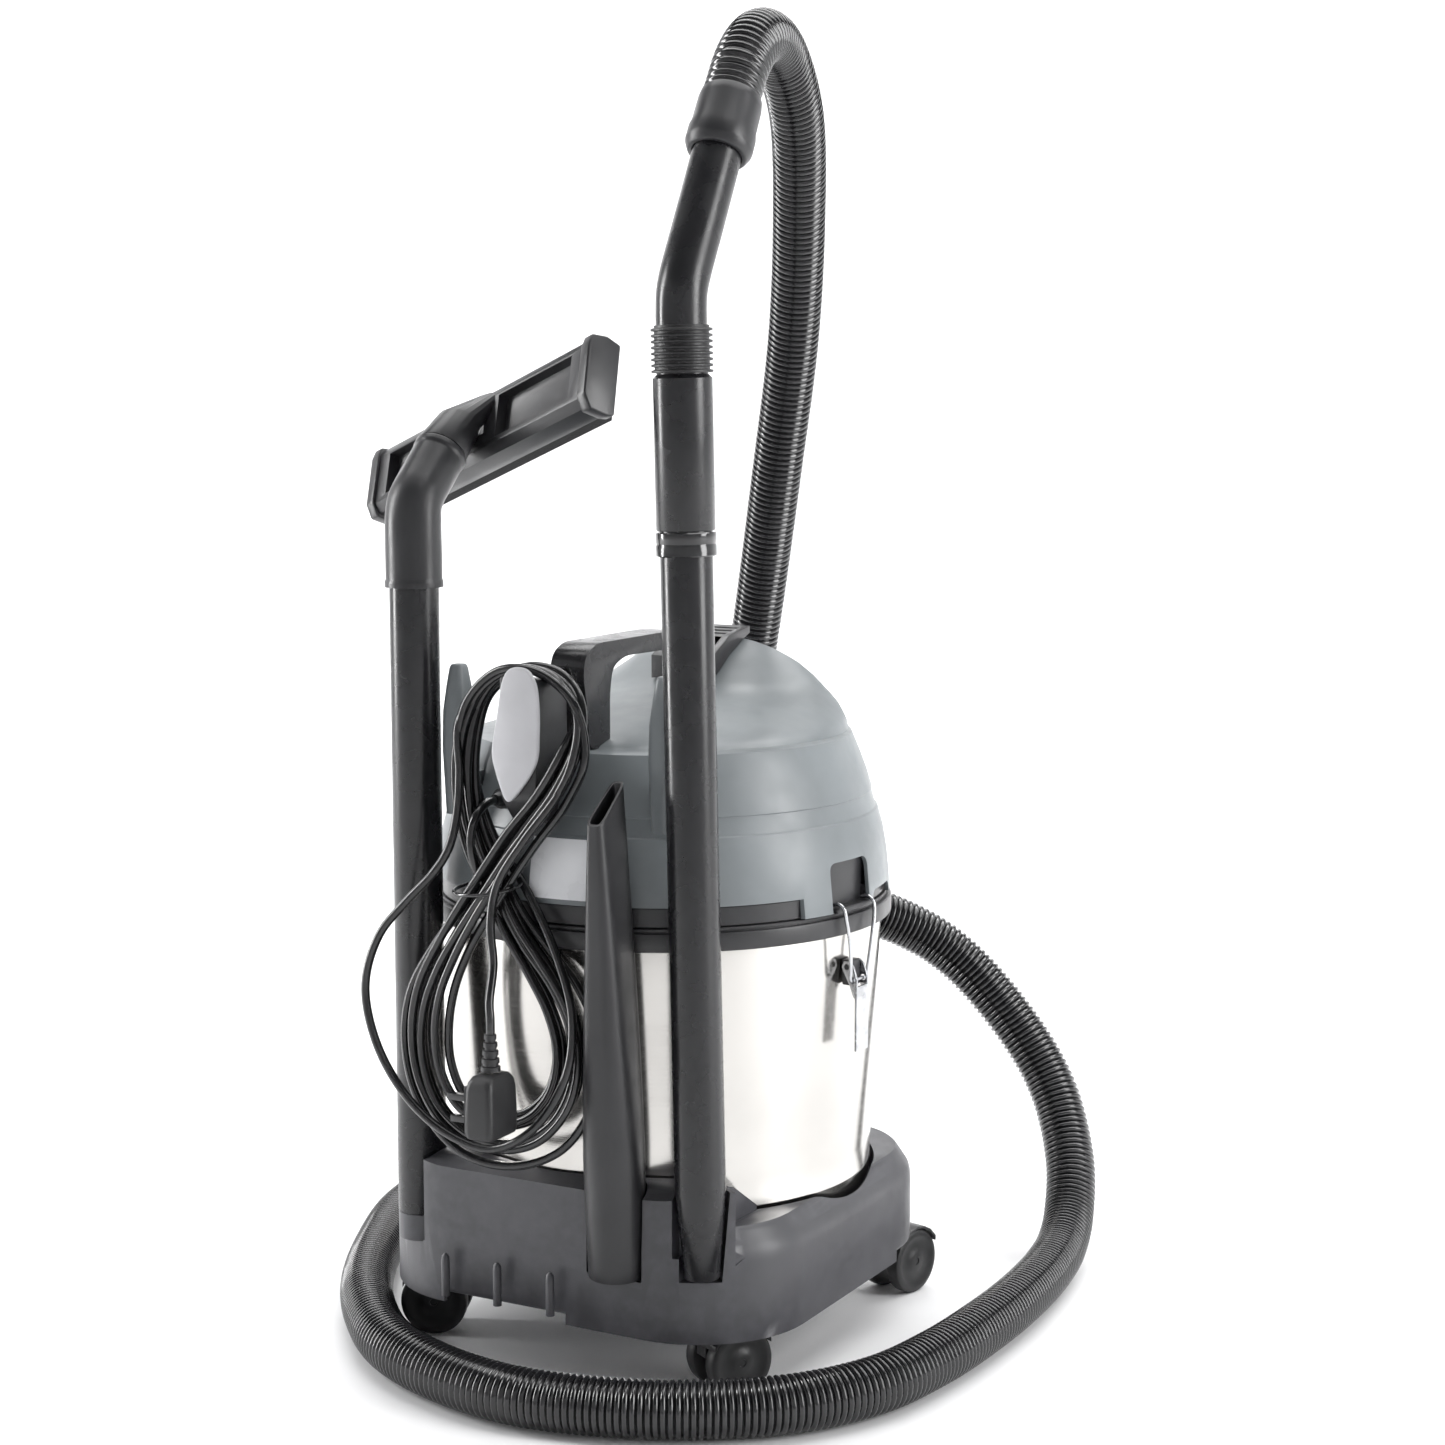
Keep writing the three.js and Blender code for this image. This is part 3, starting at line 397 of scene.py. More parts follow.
def moulding(name, colour, roughness, grain=0.00012, wear=1.5, dust=0.10, coat=0.0):
    """A moulded plastic or rubber with a fine texture, soft wear on its edges and a little dust."""
    s = Surface(name)
    patches = s.spread(s.noise(11, 4), 0.3, 0.7, 0, 1)
    base = s.mix(patches, tone(colour, 0.86), tone(colour, 1.14))
    worn = s.mix(s.edges(), base, tone(colour, wear))
    dusty = tuple(0.5 * c + 0.12 for c in colour)
    s.link(s.mix(s.dust(dust), worn, dusty), s.shader.inputs["Base Color"])
    rough = s.spread(s.noise(45, 5), 0.3, 0.7, roughness - 0.06, roughness + 0.07)
    s.link(rough, s.shader.inputs["Roughness"])
    fine = s.bump(s.noise(1500, 2), grain, 0.7)
    s.link(s.bump(s.noise(70, 3), grain * 2, 0.12, fine), s.shader.inputs["Normal"])
    s.shader.inputs["Coat Weight"].default_value = coat
    s.shader.inputs["Coat Roughness"].default_value = 0.15
    return s.material


def rolled_steel(name, colour, roughness):
    """Bright sheet with a fine grain round the drum and faint handling marks."""
    s = Surface(name)
    grain = s.noise(30, 6, (0.35, 0.35, 60))
    marks = s.spread(s.noise(9, 6), 0.42, 0.75, 0, 1)
    base = s.mix(marks, colour, tone(colour, 0.86))
    s.link(base, s.shader.inputs["Base Color"])
    s.shader.inputs["Metallic"].default_value = 1
    streaks = s.spread(grain, 0.3, 0.7, roughness - 0.035, roughness + 0.05)
    handled = s.spread(grain, 0.3, 0.7, roughness, roughness + 0.1)
    s.link(s.mix(marks, streaks, handled), s.shader.inputs["Roughness"])
    s.link(s.bump(grain, 0.00004, 0.35), s.shader.inputs["Normal"])
    return s.material


def plated(name, colour, roughness):
    """Plated wire and stampings, slightly mottled."""
    s = Surface(name)
    mottle = s.spread(s.noise(120, 4), 0.35, 0.7, 0, 1)
    s.link(s.mix(mottle, colour, tone(colour, 0.7)), s.shader.inputs["Base Color"])
    s.link(s.spread(s.noise(200, 3), 0.3, 0.7, roughness, roughness + 0.15), s.shader.inputs["Roughness"])
    s.shader.inputs["Metallic"].default_value = 1
    s.link(s.bump(s.noise(600, 2), 0.00004, 0.4), s.shader.inputs["Normal"])
    return s.material


def fibrous(name, colour, stretch, scale):
    """Bristle or filter paper: fibres that run one way."""
    s = Surface(name)
    fibres = s.noise(scale, 3, stretch)
    mixed = s.mix(s.spread(fibres, 0.35, 0.65, 0, 1), tone(colour, 0.5), tone(colour, 1.3))
    s.link(mixed, s.shader.inputs["Base Color"])
    s.link(s.spread(fibres, 0.3, 0.7, 0.75, 0.95), s.shader.inputs["Roughness"])
    s.link(s.bump(fibres, 0.0006, 0.8), s.shader.inputs["Normal"])
    return s.material


BLACK = moulding("textured_black", (0.020, 0.020, 0.022), 0.34, dust=0.05)
WAND_BLACK = moulding("satin_black", (0.010, 0.010, 0.0115), 0.26, grain=0.00003, wear=1.2, dust=0.02)
GLOSS = moulding("polished_black", (0.010, 0.010, 0.011), 0.12, grain=0.00002, wear=1.2, coat=0.5)
CHASSIS_GREY = moulding("chassis_grey", (0.050, 0.050, 0.056), 0.38, grain=0.00012, wear=1.3, dust=0.04)
COVER_GREY = moulding("cover_grey", (0.165, 0.182, 0.19), 0.36, grain=0.00008, wear=1.15, dust=0.04)
# Painted reflection: this light grey stands in for the softbox's sheen on the hook's black plastic face.
HOOK_PAINTED_SHEEN = moulding("hook_face_painted_sheen", (0.5, 0.5, 0.52), 0.4, grain=0.0001, wear=1.1, dust=0.03)
HOSE_BLACK = moulding(
    "hose_black", (0.007, 0.007, 0.008), 0.16, grain=0.00002, wear=1.3, dust=0.02, coat=0.4
)
CORD_BLACK = moulding(
    "cord_black", (0.009, 0.009, 0.010), 0.2, grain=0.00003, wear=1.2, dust=0.03, coat=0.3
)
RUBBER = moulding("dark_rubber", (0.015, 0.015, 0.016), 0.45, grain=0.0001)
STEEL = rolled_steel("rolled_steel", (0.60, 0.585, 0.56), 0.15)
CHROME = plated("bright_plating", (0.62, 0.63, 0.65), 0.14)
LABEL = moulding(
    "blank_label", (0.80, 0.81, 0.83), 0.3, grain=0.00003, wear=1.1, dust=0.03, coat=0.3
)
MOTOR = plated("motor_laminations", (0.25, 0.2, 0.17), 0.4)
BRISTLE = fibrous("bristle", (0.016, 0.016, 0.017), (1, 1, 0.1), 900)
PAPER = fibrous("filter_paper", (0.66, 0.6, 0.42), (1, 1, 0.3), 300)
FLOAT = moulding("float_white", (0.62, 0.62, 0.58), 0.35, wear=1.05)

# -------- hose
HOSE_RADIUS = 22
HOSE_FLOOR = 22.2  # the height of its middle where it lies on the floor
HOSE_PITCH = 5.3
GROOVE_DEPTH = 3.0
CUFF_REACH = 14  # how far its end runs on inside the cuff
HOSE_ON_FLOOR = [
    (260, 200), (268, 120), (269, 40), (264, -40), (248, -116), (212, -176), (160, -218), (96, -248),
    (24, -262), (-52, -250), (-121, -218), (-177, -167), (-225, -106), (-272, -23), (-311, 66),
    (-326, 150),
]
HOSE_ROUTE = [
    (0, 233, 300), (0, 248, 300), (10, 280, 297), (40, 318, 286), (92, 352, 254), (148, 366, 198),
    (196, 360, 136), (226, 332, 78), (240, 296, 40), (250, 256, 26),
    *((x, y, HOSE_FLOOR) for x, y in HOSE_ON_FLOOR),
    (-312, 236, 26), (-262, 306, 60), (-196, 336, 140), (-144, 332, 260), (-106, 312, 400),
    (-62, 280, 560), (-18, 232, 690), (20, 188, 800), (54, 132, 898), (84, 68, 978), (97, 14, 1018),
    (105, -26, 1026), (109.6, -55, 1017), (111.3, -74.5, 1000.5), (111.4, -83.2, 987),
]


def corrugation(distance):
    """The hose's radius: round crests with narrow grooves between."""
    return HOSE_RADIUS - GROOVE_DEPTH * (1 - abs(math.sin(math.pi * distance / HOSE_PITCH)) ** 0.6)


def hose():
    line = spline(HOSE_ROUTE, HOSE_PITCH / 6)
    inside_cuff = line[-1] + (line[-1] - line[-7]).normalized() * CUFF_REACH
    line += evenly([line[-1], inside_cuff], HOSE_PITCH / 6)[1:]
    piece = sweep("suction_hose", line, corrugation, 26)
    finished(piece, "machine", HOSE_BLACK, "hose", "hose", smooth=60)


# -------- mains cord and plug
CORD_RADIUS = 3.4
HANK_TOP = (-184, 560)  # y and z at the top of the hank
HANK_LEAN = math.radians(3.5)
HANK_TURNS = 7
WAIST = (280, 370)  # the heights between which the lower lobe closes into the crossing
HOOK_RISE = (478, 552)  # the heights between which the strands gather over the hook
PICK_UP = 352  # the height at which the cord's lead-in joins the first turn
# One turn of the hank in its own plane, as x and z: down the left, across, round the bottom, up across
# itself and over the hook.
TURN = [
    (-64, 500), (-66, 465), (-58, 425), (-38, 388), (-14, 350), (16, 314), (34, 276), (31, 236),
    (6, 206), (-30, 198), (-66, 210), (-88, 250), (-86, 300), (-64, 346), (-36, 388), (-8, 428),
    (22, 466), (38, 504), (32, 531), (13, 547.5), (-12, 553), (-37, 547.5), (-56, 529),
]
# The last turn, as x, z and forward: the wide loose loop, once more over the hook, and the tail.
LOOSE_END = [
    (-64, 474, 8), (-62, 444, 13), (-66, 418, 17), (-78, 398, 20), (-98, 377, 23), (-122, 348, 26),
    (-134, 308, 26), (-124, 264, 24), (-98, 226, 21), (-62, 202, 20), (-20, 194, 19), (16, 214, 17),
    (40, 256, 12), (40, 300, 6), (18, 346, -2), (-12, 388, -8), (-44, 428, -9), (-60, 470, -8),
    (-61, 508, -8), (-51, 535, -9), (-31, 551, -9), (-6, 556.5, -9), (19, 550, -7), (37, 530, -2),
    (41, 502, 6), (30, 468, 14), (4, 430, 22), (-16, 396, 26), (-19, 366, 29), (-13, 338, 33),
]
GLAND = (-46, -176.4, 452)
PLUG = (-6, -246)


def hank_point(x, z, forward):
    """A place from the hank's leaning plane: across it, up it, and out of it towards the back."""
    y, top = HANK_TOP
    down = top - z
    leaned_y = y - down * math.sin(HANK_LEAN) - forward * math.cos(HANK_LEAN)
    return Vector((x, leaned_y, top - down * math.cos(HANK_LEAN)))


def eased_step(x, low, high):
    """0 below low and 1 above high, with a smooth rise between."""
    t = min(1, max(0, (x - low) / (high - low)))
    return t * t * (3 - 2 * t)


def lane_of(turn):
    """Where a turn lies across the bundle, from -1 to 1."""
    return ((turn % HANK_TURNS) // 2 - 1.5) / 1.5 + (0.33 if turn % 2 else 0)


def layer_of(turn):
    """How far a turn lies from the bundle's middle layer: odd ones outwards, even ones inwards."""
    return 3.5 if turn % 2 else -3.5


def hank_line():
    """The turns of the hank, each strand in its own lane, crossing in the middle like an eight."""
    flat = spline([(x, z, 0) for x, z in TURN], 9, closed=True)[:-1]
    count = len(flat)
    line = []
    for turn in range(HANK_TURNS):
        lane, next_lane = lane_of(turn), lane_of(turn + 1)
        layer, next_layer = layer_of(turn), layer_of(turn + 1)
        for i, point in enumerate(flat):
            part = i / count
            change = eased_step(part, 0.82, 1.0)
            own_lane = lane + (next_lane - lane) * change
            own_layer = layer + (next_layer - layer) * change
            low_lobe = 1 - eased_step(point.y, *WAIST)
            top = eased_step(point.y, *HOOK_RISE)
            width = 10.5 + 7 * low_lobe - 9 * top
            sag = 3 * low_lobe * math.sin(2.3 * turn)
            slack = (2.2 * math.sin(1.9 * turn + 7 * part) + sag) * (1 - top)
            ahead = flat[(i + 1) % count] - flat[i - 1]
            normal = Vector((-ahead.y, ahead.x, 0)).normalized()
            spread = point + normal * (own_lane * width + slack)
            crossing = -math.cos(2 * math.pi * (part - 0.2))
            forward = (1 - top) * (3.5 + 8.5 * crossing + own_layer) - top * (3 + 11 * own_lane)
            line.append(hank_point(spread.x, spread.y + top * 0.5 * (own_layer + 3.5), forward))
    return line


def mains_cord():
    turns = hank_line()
    gx, gy, gz = GLAND
    turns = turns[next(i for i, point in enumerate(turns) if point.z < PICK_UP) :]
    lead_in = [
        Vector((gx, gy, gz)), Vector((gx, gy - 8, gz)), Vector((gx - 0.5, -195.5, 447.6)),
        Vector((gx - 1, -204.5, 438.4)), Vector((gx - 1, -208.5, 425)), Vector((gx + 0.5, -207, 410)),
        Vector((gx + 4, -201.5, 394)), Vector((gx + 11, -195, 376)),
    ]
    px, py = PLUG
    loose = [
        *(hank_point(*place) for place in LOOSE_END), Vector((px - 2, py + 2, 312)),
        Vector((px, py, 302)), Vector((px, py, 288)),
    ]
    line = spline(lead_in + turns[::4] + loose, 5)
    piece = sweep("mains_cord", line, CORD_RADIUS, 12)
    finished(piece, "machine", CORD_BLACK, "cord", "cord_hank", "cord_loop", "cord_tail", smooth=60)
    plug()
    cord_tie()


def plug():
    """A moulded three-pin plug with a ribbed strain relief."""
    px, py = PLUG
    levels = [
        (260.5, 6, 8), (259, 9, 14), (255, 10.6, 17.6), (249, 11.4, 18.8), (232, 12, 19.4), (218, 12, 19.4),
        (213.5, 11.2, 18.6), (212, 9, 16.5),
    ]
    rings = [[(px + x, py + y, z) for x, y in rounded_rectangle(a, b, 5)] for z, a, b in levels]
    body = loft("plug_body", rings)
    relief = [(0.1, 262)]
    for i in range(5):
        low = 262 + 6 * i
        wide = 7.4 - 0.7 * i
        relief += [(wide, low), (wide, low + 3.4), (wide - 1.7, low + 3.9), (wide - 1.7, low + 5.8)]
    relief.append((0.1, 291.5))
    boot = lathe("relief", relief, 24, closed=False, matrix=Matrix.Translation((px, py, 0)))
    face = [(y, z) for y, z in rounded([(-16, 214), (16, 214), (16, 250), (0, 255), (-16, 250)], 4)]
    insets = [
        outline_solid("plug_face", face, lambda y, z, x: (x, py + y, z), px - 13.4, px - 11),
        bevelled(box("fuse_cover", px - 15.5, px - 11, py - 8, py + 8, 213, 226), 1.0),
    ]
    pins = [
        bevelled(box("pin", px - 12 - reach, px - 8, py + y - 3, py + y + 3, z - 2.4, z + 2.4), 0.5)
        for y, z, reach in ((-11, 242, 17.7), (11, 242, 17.7), (0, 222, 22.7))
    ]
    metal = merge(pins[0], *pins[1:])
    metal.name = "plug_pins"
    finished(metal, "machine", GLOSS, "gloss_black")
    whole = merge(body, boot, *insets)
    finished(whole, "machine", RUBBER, "rubber", "plug")
    metal.parent = whole
    return whole


def cord_tie():
    """The twist tie round the waist of the hank."""
    line = [
        hank_point(-38 + 27 * math.cos(a), 389 + 4 * math.sin(a + 2.4), 5 + 21 * math.sin(a))
        for a in (2 * math.pi * i / 48 for i in range(49))
    ]
    tie = sweep("hank_tie", line, 1.4, 8)
    return finished(tie, "machine", GLOSS, "gloss_black", smooth=60)


# -------- drum, rim and base
DRUM_FOOT, DRUM_TOP = 168, 177
DRUM_FOOT_Z, DRUM_TOP_Z = 126, 344
INLET_Z = 300


def drum_radius(z):
    return DRUM_FOOT + (DRUM_TOP - DRUM_FOOT) * (z - DRUM_FOOT_Z) / (DRUM_TOP_Z - DRUM_FOOT_Z)


def drum():
    wall = 1.4
    outer = [(158, 118.2), (163, 119), (166.5, 121.5), (drum_radius(DRUM_FOOT_Z), DRUM_FOOT_Z)]
    for z in (138, 139.2, 140.4, 141.6):
        swell = 0.5 if z in (139.2, 140.4) else 0
        outer.append((drum_radius(z) + swell, z))
    outer += [(drum_radius(z), z) for z in range(160, 340, 20)]
    outer += [(drum_radius(341), 341), (DRUM_TOP - 0.2, 343.4), (DRUM_TOP - 1, DRUM_TOP_Z)]
    inner = [(r - wall, max(z, 120.4)) for r, z in reversed(outer)]
    profile = [(0.2, 118.2), *outer, *inner, (0.2, 120.4)]
    shell = lathe("drum_shell", profile)
    turn = Matrix.Translation((0, 100, INLET_Z)) @ Matrix.Rotation(math.radians(-90), 4, "X")
    cut(shell, lathe("inlet_cut", [(24.2, 0), (24.2, 140)], 48, closed=False, matrix=turn))
    finished(shell, "machine", STEEL, "steel", "drum")


def rim():
    profile = [
        (171, 344.4), (183.6, 344.4), (184.6, 344.8), (185, 345.8), (185, 356.8), (184.7, 358.2),
        (183.8, 358.8), (181, 358.8), (181, 361.2), (180.6, 361.7), (178.4, 361.7), (178, 361.2),
        (178, 358.5), (171, 358.5),
    ]
    black_piece(lathe("rim_band", profile), "drum_rim")


LATCH_HEADING = math.radians(-6.5)
LATCH_BACK, LATCH_FRONT = -47, 5  # the span of the latch pockets from back to front


def motor_base():
    """The pan under the motor head: a plate with a skirt, and a wall that stands up in the head."""
    inner, wall, outer = 60, 175.5, 179
    low, plate, skirt, top = 362.2, 366.2, 377.4, 404
    edge, thick = 0.8, 3
    profile = [
        (inner, low), (outer - edge, low), (outer, low + edge), (outer, skirt - edge),
        (outer - edge, skirt), (wall, skirt), (wall, top), (wall - thick, top), (wall - thick, plate),
        (inner, plate),
    ]
    pan = lathe("motor_pan", profile)
    pockets = box("pocket_cut", -200, 200, LATCH_BACK, LATCH_FRONT, plate, skirt + 5)
    cut(pan, cut(pockets, lathe("core", [(wall, 300), (wall, 500)], ROUND, closed=False)))
    for side in (1, -1):
        turn = Matrix.Rotation(side * LATCH_HEADING, 4, "Z")
        near, far = sorted((side * 168, side * 184.5))
        lug = bevelled(box("lug", near, far, -24, 24, low, plate, turn), 1.0)
        join(pan, lug)
    black_piece(pan, "motor_base")


# -------- motor head cover
# The outside of the turned part, as height and radius.
COVER = [
    (362.6, 184), (378, 182.6), (394, 181.1), (413, 177.8), (428.6, 173.6), (429.6, 171.8), (443, 168.0),
    (444, 168.9), (458, 164.6), (471.5, 159.6), (491, 151.5), (510, 142.5), (529, 128), (539, 118),
    (548.5, 104.6), (556, 92), (562, 70),
]
COVER_WALL = 3
SHELF_Z = 489
# The dome's ovals, as height, centre from back to front, half width and half length.
DOME = [
    (480, 20, 146, 148), (491, 20, 140, 142), (500, 42, 132, 120), (510, 65, 118, 98), (520, 85, 102, 68),
    (532, 94, 86, 54), (544, 100, 70, 42), (555, 108, 52, 28), (562, 112, 36, 15),
]
SIDE_POST = (92, -155)
POST_SLOT = 79  # how far off the middle the slot beside each post is
# The post's rounded rectangles, as height and half width.
POST_RINGS = [(436, 9), (488, 11), (516, 10.4), (536, 8), (549, 6), (551.4, 5), (552, 4)]


def eased(rows, steps):
    """Rows of numbers with smooth rows between them, by the first number."""
    out = []
    columns = [list(c) for c in zip(*rows)]
    for i in range(len(rows) - 1):
        for k in range(steps):
            t = k / steps
            row = []
            for column in columns:
                before = column[max(i - 1, 0)]
                a, b = column[i], column[i + 1]
                after = column[min(i + 2, len(column) - 1)]
                slope_a, slope_b = (b - before) / 2, (after - a) / 2
                row.append(
                    (2 * t**3 - 3 * t**2 + 1) * a
                    + (t**3 - 2 * t**2 + t) * slope_a
                    + (3 * t**2 - 2 * t**3) * b
                    + (t**3 - t**2) * slope_b
                )
            out.append(tuple(row))
    out.append(tuple(rows[-1]))
    return out


def dome(inset, sides=96):
    rings = []
    for z, centre, across, along in eased(DOME, 4):
        a, b = across - inset, along - inset
        angles = [2 * math.pi * i / sides for i in range(sides)]
        rings.append([(a * math.cos(t), centre + b * math.sin(t), z - inset) for t in angles])
    return loft("dome", rings)


def side_post(side):
    x, y = SIDE_POST
    rings = [
        [(side * x + px, y + py, z) for px, py in rounded_rectangle(r, r * 1.15, r * 0.8)]
        for z, r in POST_RINGS
    ]
    column = loft("side_post", rings)
    bearing = math.atan2(y, side * x)
    web = bevelled(box("web", 150, 176, -5, 5, 438, 468, Matrix.Rotation(bearing, 4, "Z")), 1.2)
    return column, web


def side_window(name, side, y0, y1, z0, z1):
    """A cutter with round corners that goes in from one side to 150 mm from the middle."""
    outline = rounded([(y0, z0), (y1, z0), (y1, z1), (y0, z1)], 8)
    return outline_solid(name, outline, lambda y, z, x: (side * x, y, z), 150, 200)


def cover():
    outer = [(r, z) for z, r in COVER]
    envelope = lathe("cover_shell", [(0.5, COVER[0][0]), *outer, (0.5, 564)], closed=False)
    inner = [(r - COVER_WALL, 350 if z == COVER[0][0] else z - 1) for z, r in COVER if z < 540]
    inside = lathe("inside", [(0.5, 350), *inner, (0.5, 539)], closed=False)
    solid = join(box("below", -200, 200, -200, 200, 340, SHELF_Z), dome(0))
    common(envelope, solid)
    hollow = join(box("below", -200, 200, -200, 200, 340, SHELF_Z - COVER_WALL), dome(COVER_WALL + 1))
    common(inside, hollow)
    for side in (1, -1):
        join(envelope, *side_post(side))
    slots = []
    for side in (1, -1):
        slots.append(side_window("latch_window", side, LATCH_BACK, LATCH_FRONT, 350, 401))
        slots.append(side_window("side_notch", side, 12, 60, 350, 372))
        middle = side * POST_SLOT
        slots.append(box("post_slot", middle - 1.6, middle + 1.6, -190, -138, 457, 492))
    rear = rounded([(-200, 350), (200, 350), (200, 378), (-200, 378)], 8)
    slots.append(outline_solid("rear_notch", rear, lambda x, z, y: (x, y, z), -200, -75))
    cut(envelope, inside, *slots)
    bevelled(envelope, 1.1, 3, 40)
    finished(envelope, "machine", COVER_GREY, "cover_grey", "head_cover")


def cover_radius(z):
    for (z0, r0), (z1, r1) in zip(COVER, COVER[1:]):
        if z0 <= z <= z1:
            return r0 + (r1 - r0) * (z - z0) / (z1 - z0)
    return COVER[-1][1]


def label():
    """The blank rating plate, bent round the cover at the back."""
    heights = [382 + 45 * i / 12 for i in range(13)]
    front = [(cover_radius(z) + 1.0, z) for z in heights]
    back = [(cover_radius(z) + 0.4, z) for z in reversed(heights)]
    plate = common(lathe("label", front + back), box("window", -12, 46, -200, 0, 300, 500))
    finished(plate, "machine", LABEL, "label", "rating_plate")


def handle():
    """The carry handle, an arch seen from the side, with a shallow thumb scoop at its back."""
    outline = rounded(
        [
            (-137, 489.4), (-140, 520), (-146, 548), (-142, 563), (-126, 570.4), (-12, 570.4), (14, 568.5),
            (29.6, 565), (29.6, 550), (20, 553), (-12, 556), (-84, 557), (-103, 550), (-107, 530),
            (-107, 489.4),
        ],
        9,
        6,
    )
    bar = outline_solid("handle", outline, from_side, -15, 15)
    cut(bar, dome(-0.4))
    scoop = lathe(
        "scoop",
        [(0.1, -11), (7, -9), (10.5, -4), (11.5, 0), (10.5, 4), (7, 9), (0.1, 11)],
        32,
        closed=False,
        matrix=Matrix.Translation((0, -152, 541)) @ Matrix.Scale(1.5, 4, (0, 0, 1)),
    )
    cut(bar, scoop)
    bevelled(bar, 3.6, 4, 50)
    finished(bar, "machine", WAND_BLACK, "matte_black", "carry_handle")
    black_piece(cad_copy("exhaust_grille", 0.9), "exhaust_grille")


HOOK_X = -8
HOOK_Y = -202


def hook():
    side = rounded(
        [
            (HOOK_Y, 460), (HOOK_Y, 551), (-196, 549), (-164, 547), (-158, 540), (-157.2, 491),
            (-160.5, 478), (-169, 456), (-173.5, 440), (-184, 438),
        ],
        5,
    )
    body = outline_solid("hook_body", side, from_side, HOOK_X - 16, HOOK_X + 16)
    bevelled(body, 3, 4, 50)
    black_piece(body, "cable_hook")
    # The light grey plate on the hook's face is painted reflection: it stands in for the softbox's sheen on
    # the black plastic.
    face = rounded(
        [
            (-10, 457), (-4, 457), (11, 475), (19.5, 490), (20.6, 524), (19, 546), (11, 558.5), (-5, 558.5),
            (-12, 548), (-16, 524), (-22.2, 492), (-17, 475),
        ],
        9,
        6,
    )
    plate = outline_solid("hook_face", face, lambda x, z, y: (HOOK_X + x, y, z), HOOK_Y - 4, HOOK_Y)
    bevelled(plate, 1.4, 3, 50)
    finished(plate, "machine", HOOK_PAINTED_SHEEN, "cover_grey")


# -------- latches
BAIL_PIVOT = (188, 308)


def latches():
    qx, qz = BAIL_PIVOT
    span = 21
    half = [
        (177.5, span, 368.4), (183, span, 369.4), (187.8, span, 366), (189.6, span - 1, 357),
        (190, span - 6, 336), (189, 12.5, 318), (qx, 11, qz), (qx, 5, qz),
    ]
    line = spline(half + [(x, -y, z) for x, y, z in reversed(half)], 1.6)
    for side, sign in (("right", 1), ("left", -1)):
        turn = Matrix.Scale(sign, 4, (1, 0, 0)) @ Matrix.Rotation(LATCH_HEADING, 4, "Z")
        wire = sweep("latch_wire_" + side, line, 1.5, 12, turn)
        finished(wire, "latch_bail_" + side, CHROME, "chrome", "latch_bail_" + side, smooth=60)
        lever = cad_copy("latch_lever_" + side, 0.35)
        finished(lever, "latch_lever_" + side, CHROME, "chrome", "latch_lever_" + side)
        base = cad_copy("latch_base_" + side, 0.6)
        black_piece(base, "latch_base_" + side)


# -------- chassis and casters
# Where each caster's stem stands, how far its axle trails, and the heading of its trail in degrees.
CASTERS = {
    "front_right": (137, 136, 18, 77),
    "front_left": (-137, 136, 18, 70),
    "rear_right": (135, -111, 14, 240),
    "rear_left": (-135, -109, 14, 205),
}
WHEEL_RADIUS = 27


def casters():
    tread = [
        (3.2, 8), (24, 8), (26.2, 8.8), (27, 10.6), (27, 18), (26.4, 19.6), (25, 20.4), (21, 20.5),
        (19.5, 19.4), (10, 19.4), (8.5, 20.5), (3.2, 20.5),
    ]
    for place, (x, y, trail, heading) in CASTERS.items():
        turn = (
            Matrix.Translation((x, y, WHEEL_RADIUS))
            @ Matrix.Rotation(math.radians(heading), 4, "Z")
            @ Matrix.Translation((trail, 0, 0))
            @ Matrix.Rotation(math.radians(-90), 4, "X")
        )
        wheel = lathe("wheel_" + place, tread, 64, matrix=turn)
        other = lathe("wheel", [(r, -z) for r, z in tread], 64, matrix=turn)
        axle = lathe("axle", [(3, -20), (3, 20)], 24, closed=False, matrix=turn)
        node = "caster_wheel_" + place
        finished(merge(wheel, other, axle), "wheels_" + place, RUBBER, "rubber", node)
        fork = cad_copy("caster_fork_" + place, 1.0)
        finished(fork, "caster_" + place, BLACK, "matte_black", "caster_fork_" + place)


WALL = 4
SKIRT_LOW, SKIRT_HIGH = 60, 138
LIP_LOW = 52
DECK_HIGH = 200  # higher than any of the deck
CORNER_RADIUS = 90
CORNERS = ((88, 78), (-88, 78), (-88, -96), (88, -96))
RIB_XS = (-84, -36, 12)
RIB_Y = -195.2
REAR_WALL = -216  # how far back the pockets run, past the deck's rear face


def chassis_outline(inset):
    """The chassis seen from above, drawn in by inset, with round corners."""
    r = CORNER_RADIUS - inset
    turns = [math.pi / 2 * (i / 14) for i in range(15)]
    return [
        (x + r * math.cos(a + k * math.pi / 2), y + r * math.sin(a + k * math.pi / 2))
        for k, (x, y) in enumerate(CORNERS)
        for a in turns
    ]


def chassis_solid(name, inset, low, high):
    return outline_solid(name, chassis_outline(inset), lambda x, y, z: (x, y, z), low, high)


def deck_solid(name, drop, half):
    """The raised rear deck, seen from the side and pulled across."""
    profile = rounded(
        [
            (-230, 20), (-230, 156 - drop), (-196, 156 - drop), (-170, 169 - drop), (-140, 167 - drop),
            (-95, 138 - drop), (-95, 20),
        ],
        5,
    )
    return outline_solid(name, profile, from_side, -half, half)


def post(name, x, y, z0, z1, r0, r1=None, sides=48):
    profile = [(r0, z0), (r1 or r0, z1)]
    return lathe(name, profile, sides, closed=False, matrix=Matrix.Translation((x, y, 0)))


def between(name, a, b, radius, sides=48):
    """A round bar from a to b."""
    return sweep(name, [a, a.lerp(b, 0.5), b], radius, sides)


